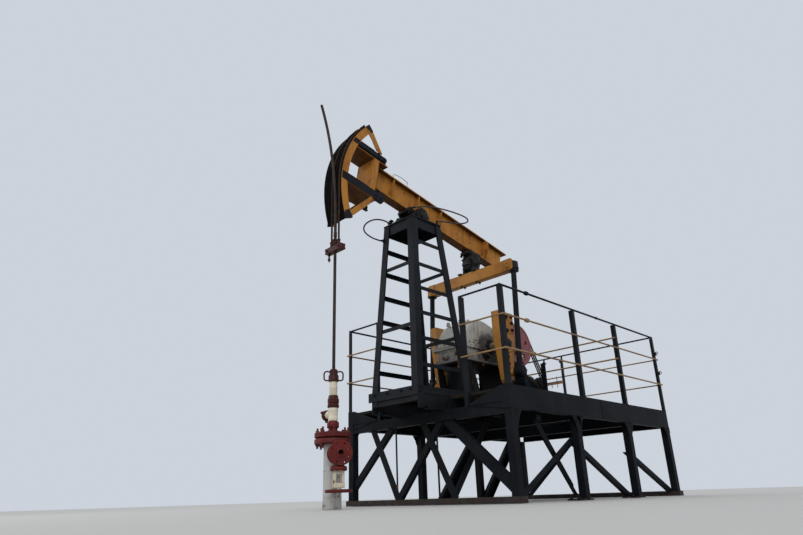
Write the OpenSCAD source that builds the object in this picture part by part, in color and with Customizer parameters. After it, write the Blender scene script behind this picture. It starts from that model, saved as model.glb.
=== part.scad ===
// Small beam pump on its raised steel platform, with the wellhead under its
// polished rod.  Millimetres, +Z up.  The origin is on the ground, under the
// saddle bearing of the walking beam and at the platform's front edge.
// +X runs back along the beam, the wellhead is at -X, -Y is the near side.

/* [Platform] */
// Length of the platform along the beam
platform_l = 3670; // [3600:10:3800]
// Width of the platform over the two side girders
platform_w = 2470; // [2400:10:2600]
// Height of the deck above the ground
deck_z = 1100; // [1080:5:1150]
// Depth of the side girders
girder_d = 230; // [220:5:240]
// Width of the square legs
leg_w = 85; // [70:5:100]
// Height of the guard rail above the deck
rail_h = 1050; // [1000:10:1100]

/* [Skid] */
// Half width of the pump's base frame
skid_hw = 352; // [352:1:356]
// Depth of the base frame channels
skid_d = 200; // [200:1:200]
// Front end of the base frame
skid_x0 = -382; // [-384:1:-382]
// Rear end of the base frame
skid_x1 = 2450; // [2400:10:2450]

/* [Tower] */
// Height of the saddle bearing axis
pivot_z = 3345; // [3345:1:3350]
// Height of the tower's top plate
tower_z = 3250; // [3250:1:3250]
// Spacing of the ladder-like rungs
rung_pitch = 300; // [290:5:300]
// Leg angle flange
leg_angle = 90; // [70:5:90]

/* [Walking beam] */
// Slope of the beam at rest, head up, in degrees
beam_tilt = 10.8; // [10.8:0.1:10.8]
// Depth of the beam
beam_d = 317; // [300:1:330]
// Width of the beam flanges
beam_b = 128; // [120:2:136]
// Underside of the beam above the pivot
beam_w0 = 49; // [49:1:52]
// Radius of the horsehead face about the pivot
head_r = 1270; // [1270:1:1270]
// Half width of the horsehead
head_hw = 150; // [145:1:155]
// Rear bearing along the beam
rear_u = 1170; // [1170:1:1170]
// Rear bearing below the pivot, square to the beam
rear_w = -127; // [-127:1:-127]

/* [Drive] */
// Crankshaft position along X
shaft_x = 1010; // [1010:1:1010]
// Crankshaft height
shaft_z = 1790; // [1790:1:1790]
// Distance of the crank pin from the shaft
crank_r = 360; // [360:1:360]
// Height of the equalizer axis
equal_z = 2800; // [2800:1:2800]
// Distance of each pitman from the centre line
pitman_y = 700; // [700:1:710]
// Radius of the reducer's big pulley
pulley_r = 270; // [250:5:275]

/* [Wellhead] */
// Radius of the casing pipe
casing_r = 84; // [80:1:84]
// Radius of the polished rod
rod_r = 16; // [14:1:16]
// Radius of a bridle cable
cable_r = 11; // [9:1:12]
// Distance of each cable from the polished rod
cable_y = 60; // [56:1:60]
// Sideways offset of the rod and the well from the pump's centre line
rod_y = -78; // [-78:1:-76]

/* [Hidden] */
$fn = 48;

hw = platform_w / 2;
gz = deck_z - girder_d;            // underside of the girders
cb_top = deck_z - 155;             // top of the cross beams, skid rests here
cb_z = cb_top - 110;               // underside of the cross beams
leg_x = [0, 1210, 2440, platform_l - leg_w];
post_x = [0, 1440, 2490, platform_l - 50];
rail_z = [deck_z + 365, deck_z + 722];
skid_z = cb_top + skid_d;          // top of the skid
rod_x = -(head_r + cable_r);
ex = rear_u * cos(beam_tilt) + rear_w * sin(beam_tilt);
ez = pivot_z - rear_u * sin(beam_tilt) + rear_w * cos(beam_tilt);
pin_z = shaft_z - crank_r;
eq_x = 1090;
valve_az = 246;
valve_x = 225;
valve_z = 471;

black = [0.17, 0.19, 0.21];
ochre = [0.78, 0.56, 0.24];
maroon = [0.42, 0.16, 0.14];
cream = [0.84, 0.80, 0.70];
grey = [0.55, 0.54, 0.51];
rust = [0.36, 0.22, 0.14];

// ---- helpers -------------------------------------------------------------
// places children with +Z along the line from a to b
module along(a, b) {
  d = b - a;
  translate(a) rotate([-asin(d.y / norm(d)), atan2(d.x, d.z), 0]) children();
}
module rod(a, b, r) { along(a, b) cylinder(r = r, h = norm(b - a)); }
module both() { children(); mirror([0, 1, 0]) children(); }
// flat strip between two points of a plane
module strip2(p, q, w) {
  d = q - p;
  translate(p) rotate(atan2(d.y, d.x)) translate([0, -w / 2]) square([norm(d), w]);
}
// a polygon of the x-z plane given thickness from y0 towards y0 + t
module xz(y0, t) { translate([0, y0 + t, 0]) rotate([90, 0, 0]) linear_extrude(t) children(); }
// a polygon of the y-z plane given thickness from x0 towards x0 + t
module yz(x0, t) { translate([x0, 0, 0]) rotate([90, 0, 90]) linear_extrude(t) children(); }
module box(a, b) { translate(a) cube(b - a); }
// channel along X, web at the outer side y = y0, flanges reaching to +Y
module channel_x(x0, x1, y0, z0, d, b, tw = 8, tf = 11) {
  translate([x0, 0, 0]) rotate([90, 0, 90]) linear_extrude(x1 - x0) union() {
    translate([y0, z0]) square([tw, d]);
    translate([y0, z0]) square([b, tf]);
    translate([y0, z0 + d - tf]) square([b, tf]);
  }
}
// channel along Y, web at x = x0, flanges reaching towards sg * X
module channel_y(y0, y1, x0, z0, d, b, sg = 1, tw = 7, tf = 9) {
  translate([0, y1, 0]) rotate([90, 0, 0]) linear_extrude(y1 - y0)
    translate([x0, 0]) scale([1, 1]) union() {
      translate([sg > 0 ? 0 : -tw, z0]) square([tw, d]);
      translate([sg > 0 ? 0 : -b, z0]) square([b, tf]);
      translate([sg > 0 ? 0 : -b, z0 + d - tf]) square([b, tf]);
    }
}
// turns about the saddle pivot into the sloping frame of the beam
module beam_frame() { translate([0, 0, pivot_z]) rotate([0, beam_tilt, 0]) children(); }
// ring segment about the pivot, from angle b0 to b1 above the beam's head side
module arc_seg(r0, r1, y0, y1, b0, b1) {
  rotate([90, 0, 0]) rotate([0, 0, 180 - b1]) rotate_extrude(angle = b1 - b0, $fn = 180)
    translate([r0, -y1]) square([r1 - r0, y1 - y0]);
}

// ---- platform ------------------------------------------------------------
module legs() color(black) both() for (i = [0:3]) {
  end = (i == 0 || i == 3);
  z0 = end ? 60 : 0;
  union() {
    box([leg_x[i], -hw, z0], [leg_x[i] + leg_w, -hw + leg_w, gz]);
    if (!end) box([leg_x[i] - 150, -hw - 20, 0], [leg_x[i] + leg_w + 30, -hw + leg_w + 60, 15]);
  }
}

module girders() color(black) both()
  channel_x(0, platform_l, -hw, gz, girder_d, 70);

module end_beams() color(black) {
  channel_y(-hw + leg_w, hw - leg_w, 0, cb_z, cb_top - cb_z, 80);
  channel_y(-hw + 70, hw - 70, platform_l, gz, girder_d, 70, -1);
}

module cross_beams() color(black) for (x = [leg_x[1], leg_x[2]])
  channel_y(-hw + leg_w, hw - leg_w, x, cb_z, cb_top - cb_z, 80);

module deck_stringers() color(black) both() for (y = [-hw + 92, -460])
  box([8, y, cb_top], [platform_l - 72, y + 45, deck_z - 40]);

module deck_boards() color([0.36, 0.29, 0.22]) {
  both() box([56, -hw + 74, deck_z - 40], [2452, -410, deck_z - 5]);
  box([2462, -hw + 74, deck_z - 40], [platform_l - 72, hw - 74, deck_z - 5]);
}

module corner_plates() color(black) both() {
  yz(-8, 8) polygon([[-hw, gz], [-hw + 90, gz], [-hw + 90, cb_top - 2], [-hw + 545, cb_top - 2],
    [-hw + 545, cb_top + 10], [-hw + 110, deck_z], [-hw, deck_z]]);
}

// angle-iron bar in the plane y = y0, from p to q of that plane, its standing
// flange on the lower or the upper edge
module bar_xz(p, q, y0, w = 62, up = -1, t = 7) {
  d = q - p; n = [-d.y, d.x] / norm(d);
  union() {
    xz(y0, t) strip2(p, q, w);
    xz(y0, 45) strip2(p + up * (w / 2 - t / 2) * n, q + up * (w / 2 - t / 2) * n, t);
  }
}
module side_braces() color(black) {
  y0 = -hw + leg_w;
  // near side, each bar cut where it meets the legs' feet
  intersection() { bar_xz([60, -3], [1260, 656], y0, 60); box([100, -2000, 20], [1208, 0, gz - 2]); }
  intersection() { bar_xz([530, 892], [1262, 46], y0 + 52, 70, 1); box([200, -2000, 15], [1208, 0, gz - 2]); }
  box([555, y0, 788], [635, y0 + 52, 848]);
  intersection() { bar_xz([1225, 610], [2520, -40], y0, 60); box([1216, -2000, 15], [2430, 0, gz - 2]); }
  intersection() { bar_xz([2460, 548], [3660, 30], y0, 60); box([2450, -2000, 60], [3600, 0, gz - 2]); }
  // far side, wide channels
  for (c = [[1545, 2345], [2495, 3290]]) intersection() {
    union() {
      xz(-y0 - 8, 8) strip2([c[0], 0], [c[1], gz], 150);
      xz(-y0 - 60, 60) { strip2([c[0] - 52, 48], [c[1] - 52, gz + 48], 9); strip2([c[0] + 52, -48], [c[1] + 52, gz - 48], 9); }
    }
    box([c[0] - 300, 0, 15], [c[1] + 300, 2000, gz - 2]);
  }
  // rusty strut from the front ground beam to the skid
  intersection() { bar_xz([100, 28], [880, 974], -345, 50, 1, 6); box([100, -600, 15], [1200, 0, cb_top]); }
}

yl = hw - leg_w;
module front_braces() intersection() {
  translate([-yl, 60]) square([2 * yl, cb_z - 60]);
  union() {
    strip2([805, 850], [388, 40], 84);
    strip2([470, 850], [1190, 180], 70);
    strip2([-15, 860], [-442, 50], 84);
    strip2([-312, 870], [405, 50], 68);
    strip2([-360, 850], [-1240, 80], 110);
    translate([400, 60]) square([20, 800]);
    translate([-230, 60]) square([20, 800]);
  }
}
module front_brace_edges() intersection() {
  translate([-yl, 60]) square([2 * yl, cb_z - 60]);
  union() {
    strip2([805 + 34, 850 - 18], [388 + 34, 40 - 18], 7);
    strip2([470 - 21, 850 - 23], [1190 - 21, 180 - 23], 7);
    strip2([-15 + 34, 860 - 18], [-442 + 34, 50 - 18], 7);
    strip2([-312 - 23, 870 - 20], [405 - 23, 50 - 20], 7);
    strip2([-360 + 34, 850 - 39], [-1240 + 34, 80 - 39], 8);
    strip2([-360 - 34, 850 + 39], [-1240 - 34, 80 + 39], 8);
  }
}
module back_braces() intersection() {
  translate([-yl, 60]) square([2 * yl, gz - 60]);
  union() {
    strip2([750, 910], [270, 0], 60);
    strip2([150, 890], [1140, 30], 60);
  }
}
module end_braces() color(black) {
  yz(20, 8) front_braces();
  yz(28, 44) front_brace_edges();
  yz(platform_l - 60, 8) back_braces();
}

module ground_beams() color(rust) {
  box([-20, -hw - 25, 0], [leg_w + 15, hw + 25, 60]);
  box([platform_l - leg_w - 15, -hw - 25, 0], [platform_l + 20, hw + 25, 60]);
}

// angle posts of the guard rail, corner outwards
module post(x, y, sx, sy) {
  translate([x, y, deck_z]) linear_extrude(rail_h - 12) union() {
    translate([sx > 0 ? 0 : -50, sy > 0 ? 0 : -6]) square([50, 6]);
    translate([sx > 0 ? 0 : -6, sy > 0 ? 0 : -50]) square([6, 50]);
  }
}
module guard_posts() color(black) {
  both() {
    post(0, -hw, 1, 1);
    post(post_x[1], -hw, 1, 1);
    post(post_x[2], -hw, 1, 1);
    post(platform_l, -hw, -1, 1);
    // posts beside the tower stand on the front beam
    translate([0, -700, cb_top]) linear_extrude(deck_z + rail_h - 12 - cb_top) union() { square([50, 6]); square([6, 45]); }
  }
  for (y = [260, 590]) translate([platform_l - 50, y, deck_z]) cube([45, 6, rail_h - 12]);
}

module guard_top_rails() color(black) {
  z = deck_z + rail_h;
  r = 12;
  union() {
    both() rod([0, -hw + r, z], [platform_l, -hw + r, z], r);
    both() rod([12, -hw + r, z], [12, -655, z], r - 1);
    rod([platform_l - 12, -hw + r, z], [platform_l - 12, hw - r, z], r - 1);
  }
}

module guard_mid_rails() color(ochre) for (z = rail_z) {
  union() {
    both() rod([-20, -hw - 10, z], [platform_l + 20, -hw - 10, z], 10);
    both() rod([-9, -hw - 10, z], [-9, -655, z], 9);
    rod([platform_l + 9, -hw - 10, z], [platform_l + 9, hw + 10, z], 9);
  }
  zc = z + (z > 1700 ? 140 : 220);
  rod([post_x[2] - 10, -hw + 5, zc], [post_x[2] - 10, hw - 5, zc], 10);
}

// ---- skid ----------------------------------------------------------------
module skid_channels() color(black) both() difference() {
  channel_x(skid_x0 + 8, skid_x1, -skid_hw, cb_top, skid_d, 75);
  // coped lower front corner
  xz(-skid_hw - 5, 100) polygon([[skid_x0 - 10, cb_top - 5], [-180, cb_top - 5], [-250, cb_top + 18], [skid_x0 - 10, cb_top + 70]]);
}

module skid_ties() color(black) {
  // front channel, its flanges end short of the side channels
  box([skid_x0, -skid_hw, cb_top + 75], [skid_x0 + 8, skid_hw, skid_z]);
  iy = skid_hw - 8;
  for (x = [500, 900, 1560, 2100]) box([x, -iy, cb_top + 12], [x + 8, iy, skid_z - 12]);
  box([skid_x1, -skid_hw, cb_top], [skid_x1 + 8, skid_hw, skid_z]);
}

// ---- tower ---------------------------------------------------------------
tb = [-390, 482, 360];             // base: front x, back x, half width
tt = [-252, 246, 247];             // top
function tlerp(i, z) = tb[i] + (tt[i] - tb[i]) * (z - skid_z) / (tower_z - 15 - skid_z);

module tower_leg(x0, x1, sx) {
  a = [x0, -tb[2], skid_z];
  b = [x1, -tt[2], tower_z - 15];
  intersection() {
    along(a, b) translate([0, 0, -60]) linear_extrude(norm(b - a) + 120) union() {
      translate([sx > 0 ? 0 : -leg_angle, 0]) square([leg_angle, 8]);
      translate([sx > 0 ? 0 : -8, 0]) square([8, leg_angle]);
    }
    box([-600, -600, skid_z], [700, 0, tower_z - 15]);
  }
}
module tower_side() {
  tower_leg(tb[0], tt[0], 1);
  tower_leg(tb[1], tt[1], -1);
  for (i = [0:5]) {
    z = skid_z + 292 + i * rung_pitch;
    h = -tlerp(2, z);
    // angle rungs
    box([tlerp(0, z) + 17, h + 4, z - 45], [tlerp(1, z) - 17, h + 10, z]);
    box([tlerp(0, z) + 17, h + 4, z - 6], [tlerp(1, z) - 17, h + 48, z]);
  }
  // ankles over the skid and the side base plate
  box([tb[0], -tb[2], cb_top], [tb[0] + leg_angle, -skid_hw, skid_z]);
  box([tb[1] - leg_angle, -tb[2], cb_top + 30], [tb[1], -skid_hw, skid_z]);
  box([tb[0], -tb[2], cb_top + 80], [tb[0] + 8, -tb[2] + leg_angle, skid_z]);
  box([tb[0] + 20, -tb[2], skid_z - 45], [tb[1] - 20, -skid_hw, skid_z + 35]);
}
module tower_side_near() color(black) tower_side();
module tower_side_far() color(black) mirror([0, 1, 0]) tower_side();

module tower_ties() color(black) {
  for (q = [[0, 2660], [0, 1900], [1, 2650], [1, 1840]]) {
    z = q[1];
    x = tlerp(q[0], z);
    w = tlerp(2, z) - 9;
    if (q[0] == 0) box([x + 9, -w, z - 45], [x + 15, w, z]);
    else box([x - 15, -w, z - 45], [x - 9, w, z]);
  }
  // plates across the feet
  box([tb[0] - 10, -tb[2] - 5, skid_z - 65], [tb[0], tb[2] + 45, skid_z + 35]);
  box([tb[0] + 12, -tb[2] + leg_angle, skid_z], [tb[0] + 90, tb[2] - leg_angle, skid_z + 12]);
  box([tb[1] - 90, -tb[2] + leg_angle, skid_z], [tb[1] - 12, tb[2] - leg_angle, skid_z + 12]);
}

module tower_top() color(black) {
  x0 = tt[0] + 12; x1 = tt[1] - 12; y = tt[2] - 12;
  box([tt[0] - 4, -tt[2] - 4, tower_z - 15], [tt[1] + 4, tt[2] + 4, tower_z]);
  difference() {
    box([x0, -y, tower_z - 140], [x1, y, tower_z - 15]);
    box([x0 + 8, -y + 8, tower_z - 150], [x1 - 8, y - 8, tower_z - 10]);
  }
}

module saddle_bearings() color(black) both() difference() {
  union() {
    xz(-195, 85) union() {
      translate([-115, tower_z]) square([230, 28]);
      translate([-75, tower_z]) square([150, pivot_z - tower_z]);
      translate([0, pivot_z]) circle(r = 75);
    }
    translate([-40, -150, pivot_z + 60]) cube([80, 0.01 + 0, 0.01]);
  }
  translate([0, -90, pivot_z]) rotate([90, 0, 0]) cylinder(r = 40.05, h = 130);
}

// ---- grease hoses --------------------------------------------------------
hose_far = [[-195, 175, 3262], [-215, 180, 3285], [-260, 195, 3305], [-320, 215, 3316], [-385, 238, 3312],
  [-445, 262, 3290], [-500, 285, 3250], [-532, 300, 3205], [-540, 306, 3160], [-520, 304, 3118], [-470, 296, 3088],
  [-410, 286, 3068], [-350, 272, 3058], [-310, 260, 3054], [-285, 250, 3056], [-266, 244, 3058]];
hose_near = [[-60, -205, 3395], [-75, -212, 3420], [-60, -222, 3440], [0, -236, 3452], [90, -252, 3462], [190, -266, 3470],
  [300, -280, 3478], [420, -292, 3486], [540, -300, 3490], [650, -304, 3490], [725, -305, 3478], [742, -304, 3452],
  [715, -300, 3420], [640, -292, 3385], [545, -284, 3358], [440, -276, 3338], [335, -266, 3322], [255, -254, 3308],
  [215, -240, 3296], [205, -232, 3280], [205, -230, 3262]];
function unit(v) = v / norm(v);
module tube(p, r, n = 8) {
  m = len(p);
  t = [for (i = [0:m - 1]) unit(p[min(i + 1, m - 1)] - p[max(i - 1, 0)])];
  up = [0.13, 0.05, 1];
  s = [for (i = [0:m - 1]) let (h = abs(t[i] * unit(up)) > 0.97 ? [0, 1, 0] : [0, 1, 0.2]) unit(cross(t[i], h))];
  pts = [for (i = [0:m - 1]) for (k = [0:n - 1])
    p[i] + r * (cos(360 * k / n) * s[i] + sin(360 * k / n) * cross(t[i], s[i]))];
  sides = [for (i = [0:m - 2]) for (k = [0:n - 1]) [i * n + k, i * n + (k + 1) % n, (i + 1) * n + (k + 1) % n, (i + 1) * n + k]];
  polyhedron(points = pts, faces = concat(sides,
    [[for (k = [0:n - 1]) n - 1 - k]], [[for (k = [0:n - 1]) (m - 1) * n + k]]), convexity = 10);
}
module grease_hoses() color([0.08, 0.08, 0.09]) {
  tube(hose_far, 9);
  tube(hose_near, 9);
}

// ---- reducer, pulley, belts, motor ---------------------------------------
pz = 1600;                         // top of the pedestal
pul = [1460, 1870];                // big pulley centre
mot = [1930, 1425];                // motor centre
module reducer_pedestal() color(black) {
  box([570, -245, pz - 14], [1600, 245, pz]);
  both() {
    for (x = [600, 1250]) xz(-240, 12) polygon([[x, pz - 14], [x + 90, pz - 14], [x + 230, skid_z + 12], [x + 130, skid_z + 12]]);
    box([690, -300, skid_z], [1520, -200, skid_z + 12]);
    xz(-228, 8) polygon([[580, pz - 14], [640, skid_z + 12], [680, skid_z + 12], [620, pz - 14]]);
  }
  for (x = [760, 1400]) box([x, -226, skid_z + 12], [x + 10, 226, pz - 14]);
}
module reducer_profile() {
  hull() {
    translate([shaft_x - 60, shaft_z]) circle(r = 365, $fn = 64);
    translate([1400, shaft_z + 20]) circle(r = 215, $fn = 64);
  }
}
module reducer_lower() color(grey) difference() {
  union() {
    xz(-225, 450) intersection() {
      translate([575, pz]) square([1050, shaft_z - pz]);
      hull() { translate([shaft_x - 60, shaft_z - 10]) circle(r = 355, $fn = 64); translate([1400, shaft_z]) circle(r = 205, $fn = 64); translate([600, pz]) square([980, 10]); }
    }
    box([545, -250, shaft_z - 24], [1640, 250, shaft_z]);
    box([560, -250, pz], [1610, 250, pz + 26]);
    both() xz(-300, 80) intersection() { translate([shaft_x, shaft_z]) circle(r = 120); translate([shaft_x - 150, shaft_z - 150]) square([300, 150]); }
  }
  translate([shaft_x, 320, shaft_z]) rotate([90, 0, 0]) cylinder(r = 60.05, h = 640);
}
module reducer_upper() color(grey) difference() {
  union() {
    xz(-225, 450) intersection() { translate([500, shaft_z]) square([1200, 500]); reducer_profile(); }
    box([545, -250, shaft_z], [1640, 250, shaft_z + 24]);
    both() xz(-300, 80) intersection() { translate([shaft_x, shaft_z]) circle(r = 120); translate([shaft_x - 150, shaft_z]) square([300, 150]); }
    // input shaft boss and stub
    translate([pul[0], -225, pul[1]]) rotate([90, 0, 0]) cylinder(r = 70, h = 60);
    translate([pul[0], -285, pul[1]]) rotate([90, 0, 0]) cylinder(r = 28, h = 140);
    translate([pul[0] - 220, 225, pul[1] + 10]) rotate([-90, 0, 0]) cylinder(r = 70, h = 30);
    // cover on the roof
    box([860, -110, 2140], [1060, 110, 2168]);
  }
  translate([shaft_x, 320, shaft_z]) rotate([90, 0, 0]) cylinder(r = 60.05, h = 640);
}
module reducer_pulley() color([0.48, 0.28, 0.26]) translate([pul[0], -330, pul[1]]) rotate([90, 0, 0]) difference() {
  union() {
    difference() { cylinder(r = pulley_r, h = 90, $fn = 96); translate([0, 0, -1]) cylinder(r = pulley_r - 35, h = 92, $fn = 96); }
    translate([0, 0, 38]) cylinder(r = pulley_r - 30, h = 16, $fn = 96);
    cylinder(r = 60, h = 90);
  }
  for (i = [0:5]) rotate([0, 0, 60 * i + 20]) hull() for (s = [-1, 1]) rotate([0, 0, s * 12]) translate([148, 0, 20]) cylinder(r = 42, h = 50, $fn = 32);
  translate([0, 0, -5]) cylinder(r = 28, h = 100);
}
module belt2d(e) hull() {
  translate(pul) circle(r = pulley_r + e, $fn = 96);
  translate(mot) circle(r = 85 + e, $fn = 48);
}
module drive_belts() color([0.06, 0.06, 0.06]) for (i = [0:2])
  xz(-412 + 26 * i, 20) difference() { belt2d(11); belt2d(1); }
module motor() color([0.16, 0.18, 0.22]) {
  translate([mot[0], 190, mot[1]]) rotate([90, 0, 0]) cylinder(r = 128, h = 430, $fn = 64);
  translate([mot[0], -240, mot[1]]) rotate([90, 0, 0]) cylinder(r = 105, h = 40, $fn = 64);
  translate([mot[0], -280, mot[1]]) rotate([90, 0, 0]) cylinder(r = 19, h = 140);
  translate([mot[0], 190, mot[1]]) rotate([-90, 0, 0]) cylinder(r = 118, h = 50, $fn = 64);
  for (y = [-200, 90]) box([mot[0] - 125, y, mot[1] - 160], [mot[0] + 125, y + 70, mot[1] - 95]);
  box([mot[0] - 60, -90, mot[1] + 100], [mot[0] + 60, 50, mot[1] + 165]);
}
module motor_pulley() color([0.20, 0.19, 0.18]) translate([mot[0], -330, mot[1]]) rotate([90, 0, 0]) difference() {
  cylinder(r = 85, h = 90, $fn = 64);
  translate([0, 0, -1]) cylinder(r = 19, h = 92);
}
module motor_rails() color(black) {
  for (y = [-210, 80]) box([mot[0] - 230, y, skid_z + 40], [mot[0] + 230, y + 90, mot[1] - 160]);
  for (x = [mot[0] - 210, mot[0] + 150]) box([x, -skid_hw + 10, skid_z], [x + 60, skid_hw - 10, skid_z + 40]);
}

// ---- wellhead ------------------------------------------------------------
module at_well() translate([rod_x, rod_y, 0]) children();
module casing() color(cream) at_well() difference() {
  cylinder(r = casing_r, h = 567);
  translate([0, 0, 30]) cylinder(r = casing_r - 10, h = 600);
  rotate([0, 0, valve_az]) translate([0, 0, valve_z]) rotate([0, 90, 0]) cylinder(r = 25, h = 120);
}
module casing_flanges() color(maroon) at_well() difference() {
  union() {
    translate([0, 0, 567]) cylinder(r = 174, h = 46);
    translate([0, 0, 613]) cylinder(r = 120, h = 12);
    translate([0, 0, 625]) cylinder(r = 174, h = 46);
    translate([0, 0, 671]) cylinder(r = 75, h = 12);
    translate([0, 0, 683]) cylinder(r = 42, h = 98);
  }
  translate([0, 0, 560]) cylinder(r = 30, h = 240);
  for (i = [0:7]) rotate([0, 0, 45 * i + 12]) translate([145, 0, 560]) cylinder(r = 11, h = 120);
}
module tubing_tee() color(cream) at_well() difference() {
  union() {
    translate([0, 0, 781]) cylinder(r = 46, h = 124);
    translate([0, 0, 843]) rotate([-90, 0, 0]) cylinder(r = 33, h = 92);
    translate([0, 92, 843]) rotate([-90, 0, 0]) cylinder(r = 66, h = 40);
  }
  translate([0, 0, 770]) cylinder(r = 30, h = 160);
  translate([0, 0, 843]) rotate([-90, 0, 0]) cylinder(r = 25, h = 140);
}
module stuffing_box() color(maroon) at_well() difference() {
  union() {
    translate([0, 0, 905]) cylinder(r = 54, h = 117);
    translate([0, 0, 1022]) cylinder(r = 38, h = 134);
    translate([0, 0, 1156]) cylinder(r = 50, h = 60);
    translate([0, 0, 1216]) cylinder(r = 40, h = 57);
  }
  translate([0, 0, 900]) cylinder(r = 30, h = 300);
  translate([0, 0, 1180]) cylinder(r = rod_r + 0.05, h = 120);
}
module side_valve() color(maroon) at_well() rotate([0, 0, valve_az]) difference() {
  union() {
    translate([casing_r - 2, 0, valve_z]) rotate([0, 90, 0]) cylinder(r = 32, h = 150 - casing_r + 2);
    translate([150, 0, valve_z]) rotate([0, 90, 0]) cylinder(r = 94, h = 22);
    translate([172, 0, valve_z]) rotate([0, 90, 0]) cylinder(r = 58, h = 108);
    translate([280, 0, valve_z]) rotate([0, 90, 0]) cylinder(r = 110, h = 22);
    box([valve_x - 50, -50, valve_z - 130], [valve_x + 50, 50, valve_z]);
    box([valve_x - 58, -58, valve_z - 148], [valve_x + 58, 58, valve_z - 122]);
    // yoke legs and yoke head
    for (s = [-1, 1]) box([valve_x - 12, s * 34 - 8, 190], [valve_x + 12, s * 34 + 8, valve_z - 148]);
    box([valve_x - 20, -42, 176], [valve_x + 20, 42, 200]);
  }
  translate([casing_r - 20, 0, valve_z]) rotate([0, 90, 0]) cylinder(r = 25, h = 300);
  difference() {
    translate([0, 0, valve_z]) rotate([0, 90, 0]) cylinder(r = casing_r, h = 0.5);
  }
  translate([0, 0, valve_z - 60]) cylinder(r = casing_r, h = 120);
  for (i = [0:7]) translate([270, 0, valve_z]) rotate([45 * i + 22, 0, 0]) translate([0, 85, 0]) rotate([0, 90, 0]) cylinder(r = 9, h = 50);
  translate([valve_x, 0, 150]) cylinder(r = 9.05, h = 160);
}
module valve_handwheel() color(maroon) at_well() rotate([0, 0, valve_az]) translate([valve_x, 0, 0]) {
  translate([0, 0, 151]) rotate_extrude($fn = 64) translate([112, 0]) circle(r = 9, $fn = 20);
  for (i = [0:3]) translate([0, 0, 151]) rotate([0, 0, 90 * i + 20]) rotate([0, 90, 0]) cylinder(r = 6, h = 110, $fn = 16);
  translate([0, 0, 138]) cylinder(r = 20, h = 28);
  translate([0, 0, 65]) cylinder(r = 9, h = 235);
}

// ---- walking beam --------------------------------------------------------
head_u = -700;
module walking_beam() color(ochre) beam_frame() {
  w1 = beam_w0 + beam_d;
  tail = 1800;
  difference() {
    union() {
      box([head_u, -beam_b / 2, beam_w0], [tail, beam_b / 2, beam_w0 + 14]);
      box([head_u, -beam_b / 2, w1 - 14], [tail + 60, beam_b / 2, w1]);
      box([head_u, -4.5, beam_w0], [tail, 4.5, w1]);
      // stiffeners
      for (u = [head_u + 4, -420, 30, 455, 1370]) box([u, -beam_b / 2 + 4, beam_w0], [u + 10, beam_b / 2 - 4, w1]);
      // saddle block on the shaft
      xz(-80, 160) polygon([[-150, beam_w0], [150, beam_w0], [150, beam_w0 - 16], [52, beam_w0 - 30], [52, 0], [-52, 0], [-52, beam_w0 - 30], [-150, beam_w0 - 16]]);
      translate([0, 80, 0]) rotate([90, 0, 0]) cylinder(r = 52, h = 160);
      // saddle shaft
      translate([0, 212, 0]) rotate([90, 0, 0]) cylinder(r = 40, h = 424);
    }
  }
}
module head_face() color(black) beam_frame()
  arc_seg(head_r - 10, head_r, -head_hw, head_hw, -30, 38);

arm_w = [beam_w0 + beam_d + 36, -165];      // undersides of the black arms
arm_h = [66, 100];
arm_u = [-650, -610];
module arm_blocks(g = 0) for (i = [0, 1])
  box([-head_r - 60, -head_hw - 1, arm_w[i]], [arm_u[i], -head_hw + 45 + g, arm_w[i] + arm_h[i]]);
module head_frame() color(ochre) beam_frame() {
  w1 = beam_w0 + beam_d;
  q = head_hw - 11;
  difference() {
    union() {
      // curved side bars behind the face
      both() arc_seg(head_r - 95, head_r - 10, -head_hw, -head_hw + 12, -30, 38);
      // upper box plate resting on the beam, and the lower one
      box([-1150, -q, w1], [-620, q, w1 + 8]);
      box([-1200, -q, -173], [-730, q, -165]);
      // transverse back plate
      box([-840, -q, -170], [-830, q, w1 + 4]);
      // standing side bars
      both() box([-842, -head_hw + 1, -64], [-762, -q + 2, w1 + 4]);
      // lower struts and tip braces
      both() xz(-head_hw + 1, 10) strip2([-1072, -580], [-775, -185], 64);
      both() xz(-head_hw + 1, 10) strip2([-1000, 690], [-760, 475], 36);
    }
    both() arm_blocks();
  }
}
module head_arms() color(black) beam_frame() both() {
  for (i = [0, 1]) intersection() {
    difference() {
      box([-head_r, -head_hw, arm_w[i]], [arm_u[i], -head_hw + 45, arm_w[i] + arm_h[i]]);
      box([-head_r - 9, -head_hw + 7, arm_w[i] + 8], [arm_u[i] + 9, -head_hw + 50, arm_w[i] + arm_h[i] - 8]);
    }
    rotate([90, 0, 0]) translate([0, 0, -400]) cylinder(r = head_r - 10, h = 800, $fn = 180);
  }
  // gussets on the ends of the arc
  xz(-head_hw - 8, 8) intersection() {
    circle(r = head_r - 12, $fn = 180);
    union() {
      polygon([[-1112, -640], [-1160, -525], [-1075, -500], [-1010, -575]]);
      polygon([[-1000, 790], [-1060, 735], [-960, 660], [-930, 700]]);
    }
  }
  // packers between the lower arms and the beam
  for (u = [-690, -640]) box([u, -head_hw + 7, arm_w[1] + arm_h[1]], [u + 40, -20, beam_w0]);
  // packers under the ends of the upper arms
  box([-690, -head_hw + 7, beam_w0 + beam_d + 8], [-650, -20, beam_w0 + beam_d + 36]);
}
module wrapped_cables() color([0.16, 0.13, 0.11]) beam_frame() for (y = [rod_y - cable_y, rod_y + cable_y])
  rotate([90, 0, 0]) rotate([0, 0, 180 - 34]) rotate_extrude(angle = 34 + beam_tilt - 0.06, $fn = 180)
    translate([head_r + cable_r, -y]) circle(r = cable_r - 0.2, $fn = 16);

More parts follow.
